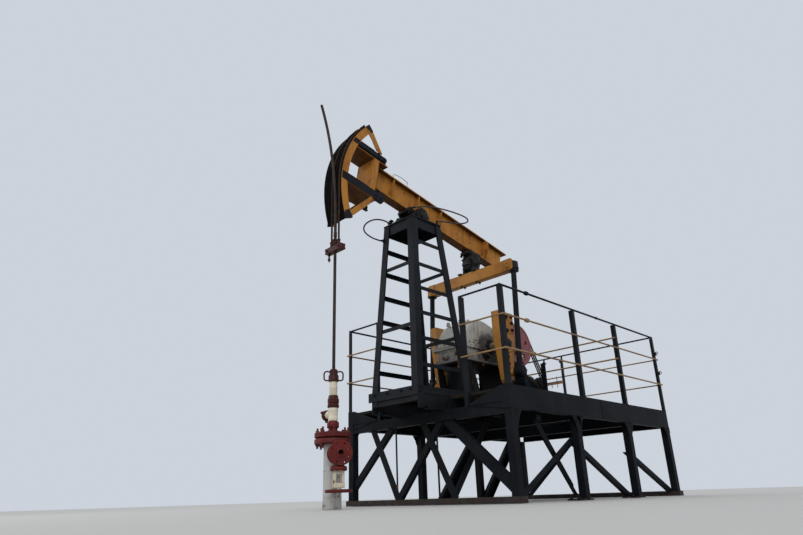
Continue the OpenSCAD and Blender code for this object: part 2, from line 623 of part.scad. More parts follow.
module tail_bearing() color(black) beam_frame() difference() {
  union() {
    translate([rear_u, 0, rear_w]) rotate([90, 0, 0]) translate([0, 0, -55]) cylinder(r = 82, h = 110);
    box([rear_u - 80, -55, rear_w], [rear_u + 80, 55, beam_w0 - 22]);
    box([rear_u - 130, -70, beam_w0 - 22], [rear_u + 130, 70, beam_w0]);
  }
  translate([rear_u, 0, rear_w]) rotate([90, 0, 0]) translate([0, 0, -80]) cylinder(r = 30.05, h = 160);
}

// ---- equalizer and pitmans -----------------------------------------------
module equalizer() color(ochre) {
  box([eq_x - 55, -665, equal_z - 75], [eq_x + 55, 665, equal_z + 75]);
  // yoke that carries the cross pin of the rear bearing
  both() hull() {
    translate([ex, -62, ez]) rotate([90, 0, 0]) cylinder(r = 62, h = 30, $fn = 32);
    box([ex - 75, -92, equal_z + 75], [ex + 75, -62, equal_z + 85]);
  }
  translate([ex, 92, ez]) rotate([90, 0, 0]) cylinder(r = 30, h = 184);
  // pins at the ends, on the front and back faces
  for (s = [-1, 1]) translate([eq_x - 66, s * 600, equal_z]) rotate([0, 90, 0]) cylinder(r = 36, h = 132);
}
module pitmans() color(black) both() {
  a = [shaft_x, -pitman_y, pin_z];
  b = [eq_x, -pitman_y, equal_z];
  union() {
    box([eq_x - 50, -pitman_y - 40, equal_z - 105], [eq_x + 62, -665, equal_z + 40]);
    along(a, b) translate([-33, -30, 50]) cube([66, 60, norm(b - a) - 60]);
    translate(a + [0, 55, 0]) rotate([90, 0, 0]) cylinder(r = 74, h = 110);
    translate(a + [0, -55, 0]) rotate([90, 0, 0]) cylinder(r = 50, h = 14);
  }
}

// ---- crank ---------------------------------------------------------------
module cranks() color(ochre) both() difference() {
  union() {
    xz(-560, 100) polygon([[shaft_x - 150, shaft_z + 400], [shaft_x + 150, shaft_z + 400], [shaft_x + 150, shaft_z + 120],
      [shaft_x + 66, shaft_z - 440], [shaft_x + 40, shaft_z - 475], [shaft_x - 40, shaft_z - 475], [shaft_x - 66, shaft_z - 440], [shaft_x - 150, shaft_z + 120]]);
    translate([shaft_x, -460, shaft_z]) rotate([-90, 0, 0]) cylinder(r = 105, h = 30);
    // crank pin, stopped short of the pitman's bearing
    translate([shaft_x, -560, pin_z]) rotate([90, 0, 0]) cylinder(r = 42, h = 75);
  }
  // shaft bore and the spare pin holes
  translate([shaft_x, -400, shaft_z]) rotate([90, 0, 0]) cylinder(r = 60, h = 200);
  for (k = [-1, 1]) translate([shaft_x, -400, pin_z + (k > 0 ? 105 : 190)]) rotate([90, 0, 0]) cylinder(r = 26, h = 200);
}
module crankshaft() color(grey)
  translate([shaft_x, 575, shaft_z]) rotate([90, 0, 0]) cylinder(r = 60, h = 1150);

// ---- polished rod --------------------------------------------------------
bar_z = 2560;
module carrier_bar() color(maroon) at_well() difference() {
  union() {
    box([-34, -130, bar_z - 28], [34, 130, bar_z + 28]);
    translate([0, 0, bar_z + 28]) cylinder(r = 27, h = 80);
    both() translate([0, -cable_y, bar_z + 28]) cylinder(r = 22, h = 62);
    translate([0, 100, bar_z - 80]) cylinder(r = 10, h = 55);
    translate([0, 100, bar_z - 80]) cylinder(r = 17, h = 18, $fn = 6);
  }
  translate([0, 0, bar_z - 60]) cylinder(r = rod_r, h = 200);
}
module polished_rod() color([0.35, 0.30, 0.28]) at_well() {
  translate([0, 0, 1100]) cylinder(r = rod_r, h = 1850, $fn = 32);
  // coupling where the stub above the carrier starts to lean
  translate([0, 0, 2935]) cylinder(r = rod_r + 4, h = 30, $fn = 32);
  translate([0, 0, 2950]) rotate([0, 0, 135]) translate([6000, 0, 0]) rotate([90, 0, 0]) rotate([0, 0, 180 - 14])
    rotate_extrude(angle = 14, $fn = 360) translate([6000, 0]) circle(r = rod_r, $fn = 32);
}
module bridle_cables() color([0.16, 0.13, 0.11]) at_well() both()
  translate([0, -cable_y, bar_z + 90]) cylinder(r = cable_r, h = pivot_z - bar_z - 90, $fn = 24);

legs();
girders();
end_beams();
cross_beams();
deck_stringers();
deck_boards();
corner_plates();
side_braces();
end_braces();
ground_beams();
guard_posts();
guard_top_rails();
guard_mid_rails();
skid_channels();
skid_ties();
tower_side_near();
tower_side_far();
tower_ties();
tower_top();
saddle_bearings();
grease_hoses();
reducer_pedestal();
reducer_lower();
reducer_upper();
reducer_pulley();
drive_belts();
motor();
motor_pulley();
motor_rails();
casing();
casing_flanges();
tubing_tee();
stuffing_box();
side_valve();
valve_handwheel();
walking_beam();
head_frame();
head_arms();
head_face();
wrapped_cables();
tail_bearing();
equalizer();
pitmans();
cranks();
crankshaft();
carrier_bar();
polished_rod();
bridle_cables();
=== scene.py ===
import bpy, bmesh, math, random
from mathutils import Vector, Matrix, Euler, noise as mnoise


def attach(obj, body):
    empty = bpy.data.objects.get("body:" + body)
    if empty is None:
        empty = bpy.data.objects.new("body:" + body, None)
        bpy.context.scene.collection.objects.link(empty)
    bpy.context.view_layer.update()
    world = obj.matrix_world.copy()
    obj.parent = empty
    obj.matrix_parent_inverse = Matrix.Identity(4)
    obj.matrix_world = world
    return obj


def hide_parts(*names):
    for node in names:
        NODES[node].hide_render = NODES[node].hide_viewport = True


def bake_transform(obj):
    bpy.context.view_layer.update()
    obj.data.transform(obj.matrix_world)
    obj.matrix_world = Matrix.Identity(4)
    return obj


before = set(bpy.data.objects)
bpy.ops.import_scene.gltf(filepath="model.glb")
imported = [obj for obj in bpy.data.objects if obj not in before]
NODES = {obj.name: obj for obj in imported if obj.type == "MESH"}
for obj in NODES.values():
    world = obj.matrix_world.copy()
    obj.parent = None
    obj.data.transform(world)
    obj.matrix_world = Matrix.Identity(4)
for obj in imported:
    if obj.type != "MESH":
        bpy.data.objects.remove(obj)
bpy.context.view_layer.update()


# --- camera ------------------------------------------------------------------
def make_camera():
    yaw, pitch, roll = map(math.radians, (45.009, 21.175, 1.797))
    fwd = Vector((math.cos(yaw) * math.cos(pitch), math.sin(yaw) * math.cos(pitch), math.sin(pitch)))
    right = Vector((math.sin(yaw), -math.cos(yaw), 0.0))
    down = fwd.cross(right)
    r2 = math.cos(roll) * right + math.sin(roll) * down
    d2 = -math.sin(roll) * right + math.cos(roll) * down
    cam = bpy.data.cameras.new("camera")
    ob = bpy.data.objects.new("camera", cam)
    bpy.context.collection.objects.link(ob)
    m = Matrix.Identity(4)
    for i in range(3):
        m[i][0], m[i][1], m[i][2] = r2[i], -d2[i], -fwd[i]
    m[0][3], m[1][3], m[2][3] = -4.899, -4.686, 0.077
    ob.matrix_world = m
    cam.sensor_width = 36.0
    cam.sensor_fit = "HORIZONTAL"
    cam.lens = 594.9 * 36.0 / 803.0
    cam.clip_start, cam.clip_end = 0.02, 200.0
    bpy.context.scene.camera = ob


make_camera()


# --- floor and light ---------------------------------------------------------
def make_stage():
    me = bpy.data.meshes.new("floor")
    s = 60.0
    me.from_pydata([(-s, -s, -0.004), (s, -s, -0.004), (s, s, -0.004), (-s, s, -0.004)], [], [(0, 1, 2, 3)])
    ob = bpy.data.objects.new("floor", me)
    bpy.context.collection.objects.link(ob)
    mat = bpy.data.materials.new("floor")
    mat.use_nodes = True
    b = mat.node_tree.nodes["Principled BSDF"]
    b.inputs["Base Color"].default_value = (0.47, 0.455, 0.43, 1)
    b.inputs["Roughness"].default_value = 0.9
    me.materials.append(mat)
    w = bpy.data.worlds.new("studio")
    bpy.context.scene.world = w
    w.use_nodes = True
    w.node_tree.nodes["Background"].inputs[0].default_value = (0.77, 0.83, 0.91, 1)
    w.node_tree.nodes["Background"].inputs[1].default_value = 0.78

    def lamp(kind, name, pos, target, size, power, color=(1, 1, 1)):
        l = bpy.data.lights.new(name, kind)
        if kind == "SUN":
            l.angle = size
        else:
            l.shape = "DISK"
            l.size = size
        l.energy = power
        l.color = color
        o = bpy.data.objects.new(name, l)
        bpy.context.collection.objects.link(o)
        o.location = pos
        o.rotation_euler = (Vector(target) - Vector(pos)).to_track_quat("-Z", "Y").to_euler()
    lamp("SUN", "key", (-7.5, -7.5, 9.0), (0.3, 0, 1.0), math.radians(35), 1.15, (1.0, 0.97, 0.93))
    lamp("SUN", "back", (7.0, 6.0, 9.0), (1.0, 0, 1.0), math.radians(60), 0.55, (0.95, 0.97, 1.0))
    lamp("AREA", "side", (-6.0, 5.0, 5.0), (0.5, 0, 2.0), 5.0, 110)


make_stage()
bpy.context.scene.view_settings.view_transform = "Standard"


# --- materials ---------------------------------------------------------------
class Mat:
    """A short way to write a node material on the Principled shader."""
    def __init__(self, name):
        self.m = bpy.data.materials.new(name)
        self.m.use_nodes = True
        self.nt = self.m.node_tree
        self.nt.nodes.clear()
        self.out = self.n("ShaderNodeOutputMaterial")
        self.b = self.n("ShaderNodeBsdfPrincipled")
        self.nt.links.new(self.b.outputs[0], self.out.inputs[0])
        self.co = self.n("ShaderNodeTexCoord").outputs["Object"]
        self._edge = None

    def n(self, kind, **kw):
        node = self.nt.nodes.new(kind)
        for k, v in kw.items():
            setattr(node, k, v)
        return node

    def put(self, sock, v):
        if isinstance(v, bpy.types.NodeSocket):
            self.nt.links.new(v, sock)
        elif isinstance(v, (tuple, list)) and len(v) == 3 and sock.type == "RGBA":
            sock.default_value = (*v, 1.0)
        else:
            sock.default_value = v

    def vec(self, x, y, z, base=None):
        k = self.n("ShaderNodeVectorMath", operation="MULTIPLY")
        self.put(k.inputs[0], base or self.co)
        k.inputs[1].default_value = (x, y, z)
        return k.outputs[0]

    def noise(self, scale, detail=5, rough=0.6, vec=None, dist=0.0):
        k = self.n("ShaderNodeTexNoise")
        self.put(k.inputs["Vector"], vec or self.co)
        k.inputs["Scale"].default_value = scale
        k.inputs["Detail"].default_value = detail
        k.inputs["Roughness"].default_value = rough
        k.inputs["Distortion"].default_value = dist
        return k.outputs["Fac"]

    def cells(self, scale, vec=None, feature="F1", rnd=1.0):
        k = self.n("ShaderNodeTexVoronoi", feature=feature)
        self.put(k.inputs["Vector"], vec or self.co)
        k.inputs["Scale"].default_value = scale
        k.inputs["Randomness"].default_value = rnd
        return k.outputs["Distance"]

    def step(self, v, a, b, lo=0.0, hi=1.0):
        k = self.n("ShaderNodeMapRange", interpolation_type="SMOOTHSTEP", clamp=True)
        self.put(k.inputs[0], v)
        k.inputs[1].default_value, k.inputs[2].default_value = a, b
        k.inputs[3].default_value, k.inputs[4].default_value = lo, hi
        return k.outputs[0]

    def mt(self, op, a, b=0.0, clamp=False):
        k = self.n("ShaderNodeMath", operation=op, use_clamp=clamp)
        self.put(k.inputs[0], a)
        self.put(k.inputs[1], b)
        return k.outputs[0]

    def mix(self, f, a, b, blend="MIX"):
        k = self.n("ShaderNodeMix", data_type="RGBA", blend_type=blend)
        self.put(k.inputs[0], f)
        self.put(k.inputs[6], a)
        self.put(k.inputs[7], b)
        return k.outputs[2]

    def normal_z(self):
        k = self.n("ShaderNodeSeparateXYZ")
        self.nt.links.new(self.n("ShaderNodeNewGeometry").outputs["Normal"], k.inputs[0])
        return k.outputs[2]

    def height(self):
        k = self.n("ShaderNodeSeparateXYZ")
        self.put(k.inputs[0], self.co)
        return k.outputs[2]

    def edge(self, radius=0.004):
        """1 along outer edges, and the rounded normal for the bump."""
        bev = self.n("ShaderNodeBevel", samples=4)
        bev.inputs["Radius"].default_value = radius
        geo = self.n("ShaderNodeNewGeometry")
        d = self.n("ShaderNodeVectorMath", operation="DOT_PRODUCT")
        self.nt.links.new(bev.outputs[0], d.inputs[0])
        self.nt.links.new(geo.outputs["Normal"], d.inputs[1])
        self._edge = bev.outputs[0]
        return self.step(self.mt("SUBTRACT", 1.0, d.outputs["Value"]), 0.01, 0.16)

    def done(self, color, rough, height=None, strength=0.4, distance=0.002, metal=None, spec=None):
        self.put(self.b.inputs["Base Color"], color)
        self.put(self.b.inputs["Roughness"], rough)
        if metal is not None:
            self.put(self.b.inputs["Metallic"], metal)
        if spec is not None:
            self.b.inputs["Specular IOR Level"].default_value = spec
        if height is not None:
            k = self.n("ShaderNodeBump")
            k.inputs["Strength"].default_value = strength
            k.inputs["Distance"].default_value = distance
            self.put(k.inputs["Height"], height)
            if self._edge is not None:
                self.nt.links.new(self._edge, k.inputs["Normal"])
            self.nt.links.new(k.outputs[0], self.b.inputs["Normal"])
        return self.m


RUST_D, RUST_M, RUST_O = (0.035, 0.014, 0.008), (0.13, 0.045, 0.016), (0.30, 0.12, 0.035)


def paint(name, base, alt, rust=0.3, dust=0.3, streak=0.4, rough=0.5, fine=1.0, grime=(0.012, 0.010, 0.009),
          dustc=(0.30, 0.26, 0.21), chip=0.4, spec=0.5, edge_r=0.004, foot=0.0, bump=0.5):
    m = Mat(name)
    big = m.noise(1.7, 6, 0.62)
    mid = m.noise(11 * fine, 8, 0.68)
    small = m.noise(70 * fine, 5, 0.6)
    e = m.edge(edge_r)
    col = m.mix(m.step(big, 0.36, 0.64), base, alt)
    # faint cloudy mottling and brush marks down the steel
    brush = m.noise(1.0, 4, 0.7, vec=m.vec(60, 60, 5))
    col = m.mix(m.step(brush, 0.35, 0.7, 0.0, 0.35), col, m.mix(1.0, col, (0.62, 0.62, 0.64), "MULTIPLY"))
    # dust on what faces up, and chalking
    up = m.step(m.normal_z(), 0.25, 0.95)
    col = m.mix(m.mt("MULTIPLY", m.mt("MULTIPLY", up, m.step(mid, 0.32, 0.62)), dust), col, dustc)
    col = m.mix(m.mt("MULTIPLY", m.step(m.noise(4.5, 7, 0.7), 0.50, 0.72), 0.35 * dust + 0.06), col, dustc)
    # dirt that has run down
    run = m.noise(1.0, 5, 0.62, vec=m.vec(24, 24, 1.3))
    col = m.mix(m.mt("MULTIPLY", m.step(run, 0.54, 0.74), streak), col, grime)
    # rust: patches, chipped edges and stains under them
    want = m.mt("ADD", m.mt("MULTIPLY", big, 0.35), m.mt("MULTIPLY", mid, 0.65))
    want = m.mt("ADD", want, m.mt("MULTIPLY", e, 0.16 * chip))
    if foot > 0:
        want = m.mt("ADD", want, m.step(m.height(), foot, 0.0, 0.0, 0.10))
    t = 0.66 - 0.16 * rust
    patch = m.step(want, t, t + 0.035)
    halo = m.step(want, t - 0.05, t + 0.02, 0.0, 0.55)
    rustc = m.mix(m.step(small, 0.35, 0.62), RUST_D, m.mix(m.step(mid, 0.45, 0.6), RUST_M, RUST_O))
    col = m.mix(m.mt("MULTIPLY", halo, rust + 0.15), col, m.mix(0.5, col, RUST_M))
    rrun = m.mt("MULTIPLY", m.step(m.noise(1.0, 4, 0.6, vec=m.vec(34, 34, 1.8)), 0.58, 0.72), m.step(big, 0.45, 0.6))
    col = m.mix(m.mt("MULTIPLY", rrun, 0.55 * rust), col, RUST_M)
    col = m.mix(patch, col, rustc)
    # bare bright specks at worn edges
    wear = m.mt("MULTIPLY", e, m.step(small, 0.5, 0.66))
    col = m.mix(m.mt("MULTIPLY", wear, 0.30 * chip), col, (0.22, 0.20, 0.19))
    r = m.mt("ADD", rough - 0.08, m.mt("MULTIPLY", mid, 0.22))
    r = m.mt("ADD", r, m.mt("MULTIPLY", patch, 0.35), True)
    h = m.mt("ADD", m.mt("MULTIPLY", small, 0.35), m.mt("MULTIPLY", mid, 0.4))
    h = m.mt("ADD", h, m.mt("MULTIPLY", patch, m.mt("MULTIPLY", small, 1.3)))
    return m.done(col, r, h, bump, 0.0022, spec=spec)


def beam_paint(name="beam_ochre"):
    """The walking beam's and head's ochre, with rust and oil running down from stiffeners, edges and bolts, and painted
    shade on the faces turned downwards.
    """
    m = Mat(name)
    big = m.noise(1.9, 6, 0.62)
    mid = m.noise(12, 8, 0.68)
    small = m.noise(85, 5, 0.6)
    e = m.edge(0.004)
    col = m.mix(m.step(big, 0.34, 0.66), (0.43, 0.190, 0.034), (0.335, 0.128, 0.022))
    col = m.mix(m.step(m.noise(5.5, 7, 0.7), 0.5, 0.68, 0, 0.55), col, (0.27, 0.105, 0.022))
    sep = m.n("ShaderNodeSeparateXYZ")
    m.put(sep.inputs[0], m.co)
    x, z = sep.outputs[0], sep.outputs[2]
    c, sn = math.cos(math.radians(10.8)), math.sin(math.radians(10.8))
    dz = m.mt("SUBTRACT", z, 3.345)
    u = m.mt("SUBTRACT", m.mt("MULTIPLY", x, c), m.mt("MULTIPLY", dz, sn))
    w = m.mt("ADD", m.mt("MULTIPLY", x, sn), m.mt("MULTIPLY", dz, c))
    run = m.noise(1.0, 5, 0.62, vec=m.vec(30, 30, 1.6))
    thin = m.noise(1.0, 4, 0.6, vec=m.vec(95, 95, 3.0))
    # drips off the stiffeners and off the top flange's edge
    near = None
    for u0 in (-0.69, -0.415, 0.035, 0.46, 1.375):
        d = m.mt("ABSOLUTE", m.mt("SUBTRACT", m.mt("ADD", u, m.mt("MULTIPLY", m.mt("SUBTRACT", run, 0.5), 0.10)), u0 + 0.012))
        k = m.step(d, 0.055, 0.008)
        near = k if near is None else m.mt("MAXIMUM", near, k)
    low = m.step(w, 0.36, 0.06, 0.25, 1.0)
    drip = m.mt("MULTIPLY", m.mt("MULTIPLY", near, m.step(thin, 0.40, 0.62)), low)
    col = m.mix(m.mt("MULTIPLY", drip, 0.85), col, (0.085, 0.030, 0.012))
    col = m.mix(m.step(run, 0.52, 0.70, 0, 0.55), col, (0.145, 0.056, 0.018))
    col = m.mix(m.mt("MULTIPLY", m.step(thin, 0.56, 0.70), m.step(big, 0.42, 0.6, 0, 0.6)), col, (0.075, 0.028, 0.013))
    # painted shade: faces turned downwards are darkened as if in shadow, patchy by noise
    down = m.step(m.normal_z(), -0.55, -0.92)
    col = m.mix(m.mt("MULTIPLY", down, m.step(mid, 0.25, 0.6, 0.75, 0.95)), col, (0.054, 0.0205, 0.0048))
    # grease thrown about the saddle and the tail bearing
    blot = m.mt("MULTIPLY", m.mt("SUBTRACT", mid, 0.5), 0.16)
    for u0, w0 in ((0.0, 0.035), (1.17, 0.010)):
        ru = m.mt("MULTIPLY", m.mt("SUBTRACT", u, u0), 0.62)
        rw = m.mt("SUBTRACT", w, w0)
        dd = m.mt("SQRT", m.mt("ADD", m.mt("MULTIPLY", ru, ru), m.mt("MULTIPLY", rw, rw)))
        col = m.mix(m.step(m.mt("ADD", dd, blot), 0.115, 0.070, 0.0, 0.96), col, (0.0085, 0.0070, 0.0065))
    want = m.mt("ADD", m.mt("ADD", m.mt("MULTIPLY", big, 0.35), m.mt("MULTIPLY", mid, 0.65)), m.mt("MULTIPLY", e, 0.035))
    patch = m.step(want, 0.595, 0.63)
    col = m.mix(m.step(want, 0.54, 0.61, 0, 0.45), col, RUST_M)
    col = m.mix(patch, col, m.mix(m.step(small, 0.35, 0.62), RUST_D, RUST_M))
    col = m.mix(m.mt("MULTIPLY", m.mt("MULTIPLY", e, m.step(small, 0.45, 0.62)), 0.55), col, (0.06, 0.028, 0.015))
    r = m.mt("ADD", 0.42, m.mt("MULTIPLY", mid, 0.22))
    r = m.mt("ADD", r, m.mt("MULTIPLY", patch, 0.3), True)
    h = m.mt("ADD", m.mt("MULTIPLY", small, 0.35), m.mt("MULTIPLY", mid, 0.45))
    h = m.mt("ADD", h, m.mt("MULTIPLY", patch, small))
    return m.done(col, r, h, 0.5, 0.0022, spec=0.12)


def rusty(name, a=RUST_D, b=RUST_M, c=RUST_O, oil=0.3, fine=1.0):
    m = Mat(name)
    mid = m.noise(9 * fine, 8, 0.7)
    small = m.noise(80 * fine, 6, 0.65)
    m.edge(0.003)
    col = m.mix(m.step(mid, 0.38, 0.6), a, b)
    col = m.mix(m.step(small, 0.5, 0.7, 0, 0.6), col, c)
    o = m.step(m.noise(3.0, 6, 0.65), 0.5, 0.6, 0.0, oil)
    col = m.mix(o, col, (0.010, 0.009, 0.009))
    r = m.mt("SUBTRACT", 0.88, m.mt("MULTIPLY", o, 0.5))
    h = m.mt("ADD", m.mt("MULTIPLY", small, 0.8), m.mt("MULTIPLY", mid, 0.6))
    return m.done(col, r, h, 0.6, 0.0025)


def greasy(name, base=(0.0045, 0.0045, 0.0050), hi=(0.020, 0.019, 0.018), lump=28, rough=0.34):
    m = Mat(name)
    a = m.noise(lump, 7, 0.7)
    b = m.cells(lump * 2.2)
    m.edge(0.004)
    col = m.mix(m.step(a, 0.42, 0.66), base, hi)
    col = m.mix(m.step(m.noise(lump * 0.4, 5, 0.6), 0.57, 0.70, 0, 0.4), col, RUST_D)
    r = m.step(a, 0.3, 0.7, rough, rough + 0.35)
    h = m.mt("ADD", a, m.mt("MULTIPLY", b, 0.35))
    return m.done(col, r, h, 0.8, 0.006, spec=0.22)


def casting():
    """The reducer: chalky pale paint over a rough casting, oil-stained round the shafts, with painted shade darkening
    it low down.
    """
    m = Mat("reducer_paint")
    big = m.noise(2.6, 6, 0.65)
    mid = m.noise(13, 8, 0.7)
    small = m.noise(95, 5, 0.6)
    e = m.edge(0.006)
    col = m.mix(m.step(big, 0.38, 0.62), (0.40, 0.395, 0.36), (0.30, 0.297, 0.275))
    col = m.mix(m.step(mid, 0.52, 0.68, 0, 0.35), col, (0.27, 0.25, 0.21))
    run = m.noise(1.0, 6, 0.65, vec=m.vec(16, 16, 1.5))
    col = m.mix(m.step(run, 0.50, 0.68, 0, 0.55), col, (0.13, 0.095, 0.065))
    # painted shade: the case is darkened low down, below the joint, as if in shadow
    low = m.step(m.mt("ADD", m.height(), m.mt("MULTIPLY", m.mt("SUBTRACT", mid, 0.5), 0.5)), 1.80, 1.60)
    col = m.mix(m.mt("MULTIPLY", low, 0.72), col, (0.045, 0.036, 0.030))
    spots = m.mt("ADD", m.mt("MULTIPLY", mid, 0.75), m.mt("MULTIPLY", big, 0.25))
    spots = m.step(m.mt("ADD", spots, m.mt("MULTIPLY", e, 0.05)), 0.60, 0.64)
    col = m.mix(spots, col, m.mix(m.step(small, 0.4, 0.6), RUST_D, RUST_M))
    sh = m.n("ShaderNodeVectorMath", operation="DISTANCE")
    flat = m.vec(1, 0, 1)
    m.put(sh.inputs[0], flat)
    sh.inputs[1].default_value = (1.01, 0, 1.79)
    oil = m.step(m.mt("ADD", sh.outputs["Value"], m.mt("MULTIPLY", m.mt("SUBTRACT", mid, 0.5), 0.35)), 0.26, 0.12)
    col = m.mix(m.mt("MULTIPLY", oil, 0.9), col, (0.018, 0.015, 0.013))
    r = m.mt("SUBTRACT", 0.8, m.mt("MULTIPLY", m.mt("MAXIMUM", oil, low), 0.35))
    h = m.mt("ADD", m.mt("MULTIPLY", small, 0.7), m.mt("MULTIPLY", mid, 0.5))
    h = m.mt("SUBTRACT", h, m.mt("MULTIPLY", spots, 0.5))
    return m.done(col, r, h, 0.7, 0.003)


def planks(name="planks_painted_shade"):
    m = Mat(name)
    g = m.noise(1.0, 8, 0.72, vec=m.vec(2.0, 60, 60), dist=0.4)
    g2 = m.noise(1.0, 5, 0.6, vec=m.vec(1.2, 9, 9))
    knots = m.cells(3.0, vec=m.vec(0.8, 2.5, 2.5))
    info = m.n("ShaderNodeNewGeometry").outputs["Random Per Island"]
    e = m.edge(0.003)
    # base colours kept far darker than weathered wood: painted shade, as the deck lies in shadow
    col = m.mix(m.step(g, 0.35, 0.65), (0.008, 0.006, 0.005), (0.034, 0.024, 0.017))
    col = m.mix(m.mt("MULTIPLY", info, 0.6), col, (0.019, 0.017, 0.015))
    col = m.mix(m.step(g2, 0.48, 0.66, 0, 0.75), col, (0.022, 0.017, 0.014))
    col = m.mix(m.step(knots, 0.10, 0.05, 0, 0.8), col, (0.016, 0.010, 0.007))
    col = m.mix(m.mt("MULTIPLY", e, 0.25), col, (0.030, 0.025, 0.020))
    r = m.step(g2, 0.4, 0.7, 0.92, 0.70)
    return m.done(col, r, m.mt("ADD", g, m.mt("MULTIPLY", g2, 0.3)), 0.7, 0.003, spec=0.10)


def rubber(name="rubber", base=(0.016, 0.016, 0.017)):
    m = Mat(name)
    a = m.noise(25, 6, 0.65)
    col = m.mix(m.step(a, 0.45, 0.68, 0, 0.6), base, (0.075, 0.068, 0.058))
    return m.done(col, m.step(a, 0.3, 0.7, 0.5, 0.8), m.noise(140, 4, 0.6), 0.35, 0.001)


def rope(name="wire_rope"):
    m = Mat(name)
    a = m.noise(30, 6, 0.7)
    b = m.noise(160, 4, 0.6)
    col = m.mix(m.step(a, 0.40, 0.62), (0.0095, 0.0075, 0.0068), (0.034, 0.0195, 0.0130))
    col = m.mix(m.step(b, 0.5, 0.7, 0, 0.4), col, (0.050, 0.036, 0.030))
    return m.done(col, m.step(a, 0.3, 0.7, 0.6, 0.85), b, 0.5, 0.001, spec=0.12)


def steel(name="worn_steel", c=(0.36, 0.34, 0.32), rusty_at=0.55, rough=0.32):
    m = Mat(name)
    a = m.noise(12, 7, 0.68)
    b = m.noise(120, 4, 0.6)
    m.edge(0.002)
    patch = m.step(a, rusty_at, rusty_at + 0.06)
    col = m.mix(patch, c, m.mix(m.step(b, 0.4, 0.6), RUST_D, RUST_M))
    r = m.mt("ADD", rough, m.mt("MULTIPLY", patch, 0.45), True)
    met = m.mt("SUBTRACT", 0.9, m.mt("MULTIPLY", patch, 0.75))
    return m.done(col, r, m.mt("MULTIPLY", b, m.mt("ADD", 0.2, patch)), 0.35, 0.001, metal=met)


def face_paint():
    """The head's face: black paint worn to brown by the cables, greased down the middle."""
    m = Mat("head_face_worn")
    y = m.n("ShaderNodeSeparateXYZ")
    m.put(y.inputs[0], m.co)
    yy = y.outputs[1]
    mid = m.noise(12, 8, 0.7)
    small = m.noise(80, 5, 0.6)
    run = m.noise(1.0, 6, 0.7, vec=m.vec(3, 40, 1.1))
    m.edge(0.004)
    col = m.mix(m.step(mid, 0.4, 0.62), (0.0028, 0.0027, 0.0027), (0.0060, 0.0056, 0.0054))
    wob = m.mt("ADD", yy, m.mt("MULTIPLY", m.mt("SUBTRACT", run, 0.5), 0.10))

    def band(c, w):
        return m.step(m.mt("ABSOLUTE", m.mt("SUBTRACT", wob, c)), w, w * 0.35)
    near = m.mt("MAXIMUM", band(-0.125, 0.065), band(-0.018, 0.05))
    col = m.mix(m.mt("MULTIPLY", near, 0.75), col, m.mix(m.step(small, 0.4, 0.6), (0.0125, 0.0052, 0.0042), (0.028, 0.0105, 0.0075)))
    col = m.mix(m.mt("MULTIPLY", band(-0.078, 0.03), 0.8), col, (0.004, 0.004, 0.0042))
    col = m.mix(m.step(run, 0.56, 0.72, 0, 0.5), col, (0.026, 0.0115, 0.0075))
    r = m.step(run, 0.35, 0.65, 0.95, 0.78)
    return m.done(col, r, m.mt("ADD", small, m.mt("MULTIPLY", mid, 0.6)), 0.5, 0.002, spec=0.02)


# the platform's black is darker than the frame's black (BLACK2) below: painted shade for the deeper shadow on the
# platform's girders
BLACK = paint("black_platform_paint_shaded", (0.0042, 0.0052, 0.0070), (0.0082, 0.0100, 0.0132), rust=0.14, dust=0.08, streak=0.35,
              rough=0.52, chip=0.2, dustc=(0.028, 0.028, 0.028), foot=0.045, spec=0.07)
BLACK2 = paint("black_frame_paint", (0.0060, 0.0074, 0.0096), (0.0115, 0.0138, 0.0175), rust=0.12, dust=0.10, streak=0.3,
               rough=0.46, chip=0.2, dustc=(0.036, 0.036, 0.036), fine=1.3, spec=0.09)
OCHRE = paint("ochre_paint", (0.42, 0.187, 0.034), (0.33, 0.128, 0.023), rust=0.36, dust=0.08, streak=0.55, rough=0.50,
              grime=(0.10, 0.052, 0.018), dustc=(0.50, 0.36, 0.18), chip=0.9, spec=0.26)
BEAMP = beam_paint()
OCHRE2 = paint("ochre_rail_paint", (0.305, 0.178, 0.066), (0.190, 0.113, 0.048), rust=0.55, dust=0.14, streak=0.3, rough=0.55,
               grime=(0.12, 0.06, 0.025), dustc=(0.34, 0.25, 0.14), chip=0.8, fine=2.0, edge_r=0.002)
MAROON = paint("maroon_paint", (0.135, 0.0120, 0.0090), (0.085, 0.0090, 0.0075), rust=0.26, dust=0.05, streak=0.4, rough=0.48,
               dustc=(0.15, 0.07, 0.055), chip=0.5, fine=1.6, spec=0.20)
MAROON2 = paint("oily_maroon_paint", (0.062, 0.0105, 0.0085), (0.034, 0.0080, 0.0070), rust=0.26, dust=0.04, streak=0.6, rough=0.46,
                dustc=(0.09, 0.05, 0.04), chip=0.5, fine=1.6, spec=0.20)
CASINGP = paint("casing_paint", (0.50, 0.495, 0.47), (0.42, 0.415, 0.39), rust=0.16, dust=0.10, streak=0.35, rough=0.52,
                grime=(0.16, 0.13, 0.10), dustc=(0.36, 0.33, 0.28), chip=0.6, fine=1.2, foot=0.14, spec=0.3)
CREAM = paint("cream_paint", (0.72, 0.66, 0.52), (0.60, 0.53, 0.40), rust=0.34, dust=0.10, streak=0.45, rough=0.50,
              grime=(0.25, 0.16, 0.09), dustc=(0.5, 0.44, 0.34), chip=0.8, fine=1.4, foot=0.28)
PULLEY = paint("dusty_red_paint", (0.25, 0.070, 0.075), (0.19, 0.052, 0.056), rust=0.22, dust=0.32, streak=0.2, rough=0.62,
               dustc=(0.30, 0.19, 0.17), chip=0.8, fine=1.5)
MOTORC = paint("motor_paint", (0.0085, 0.0215, 0.0330), (0.0060, 0.0120, 0.0185), rust=0.16, dust=0.12, streak=0.45, rough=0.46,
               dustc=(0.035, 0.045, 0.050), chip=0.6, fine=2.0, spec=0.14)
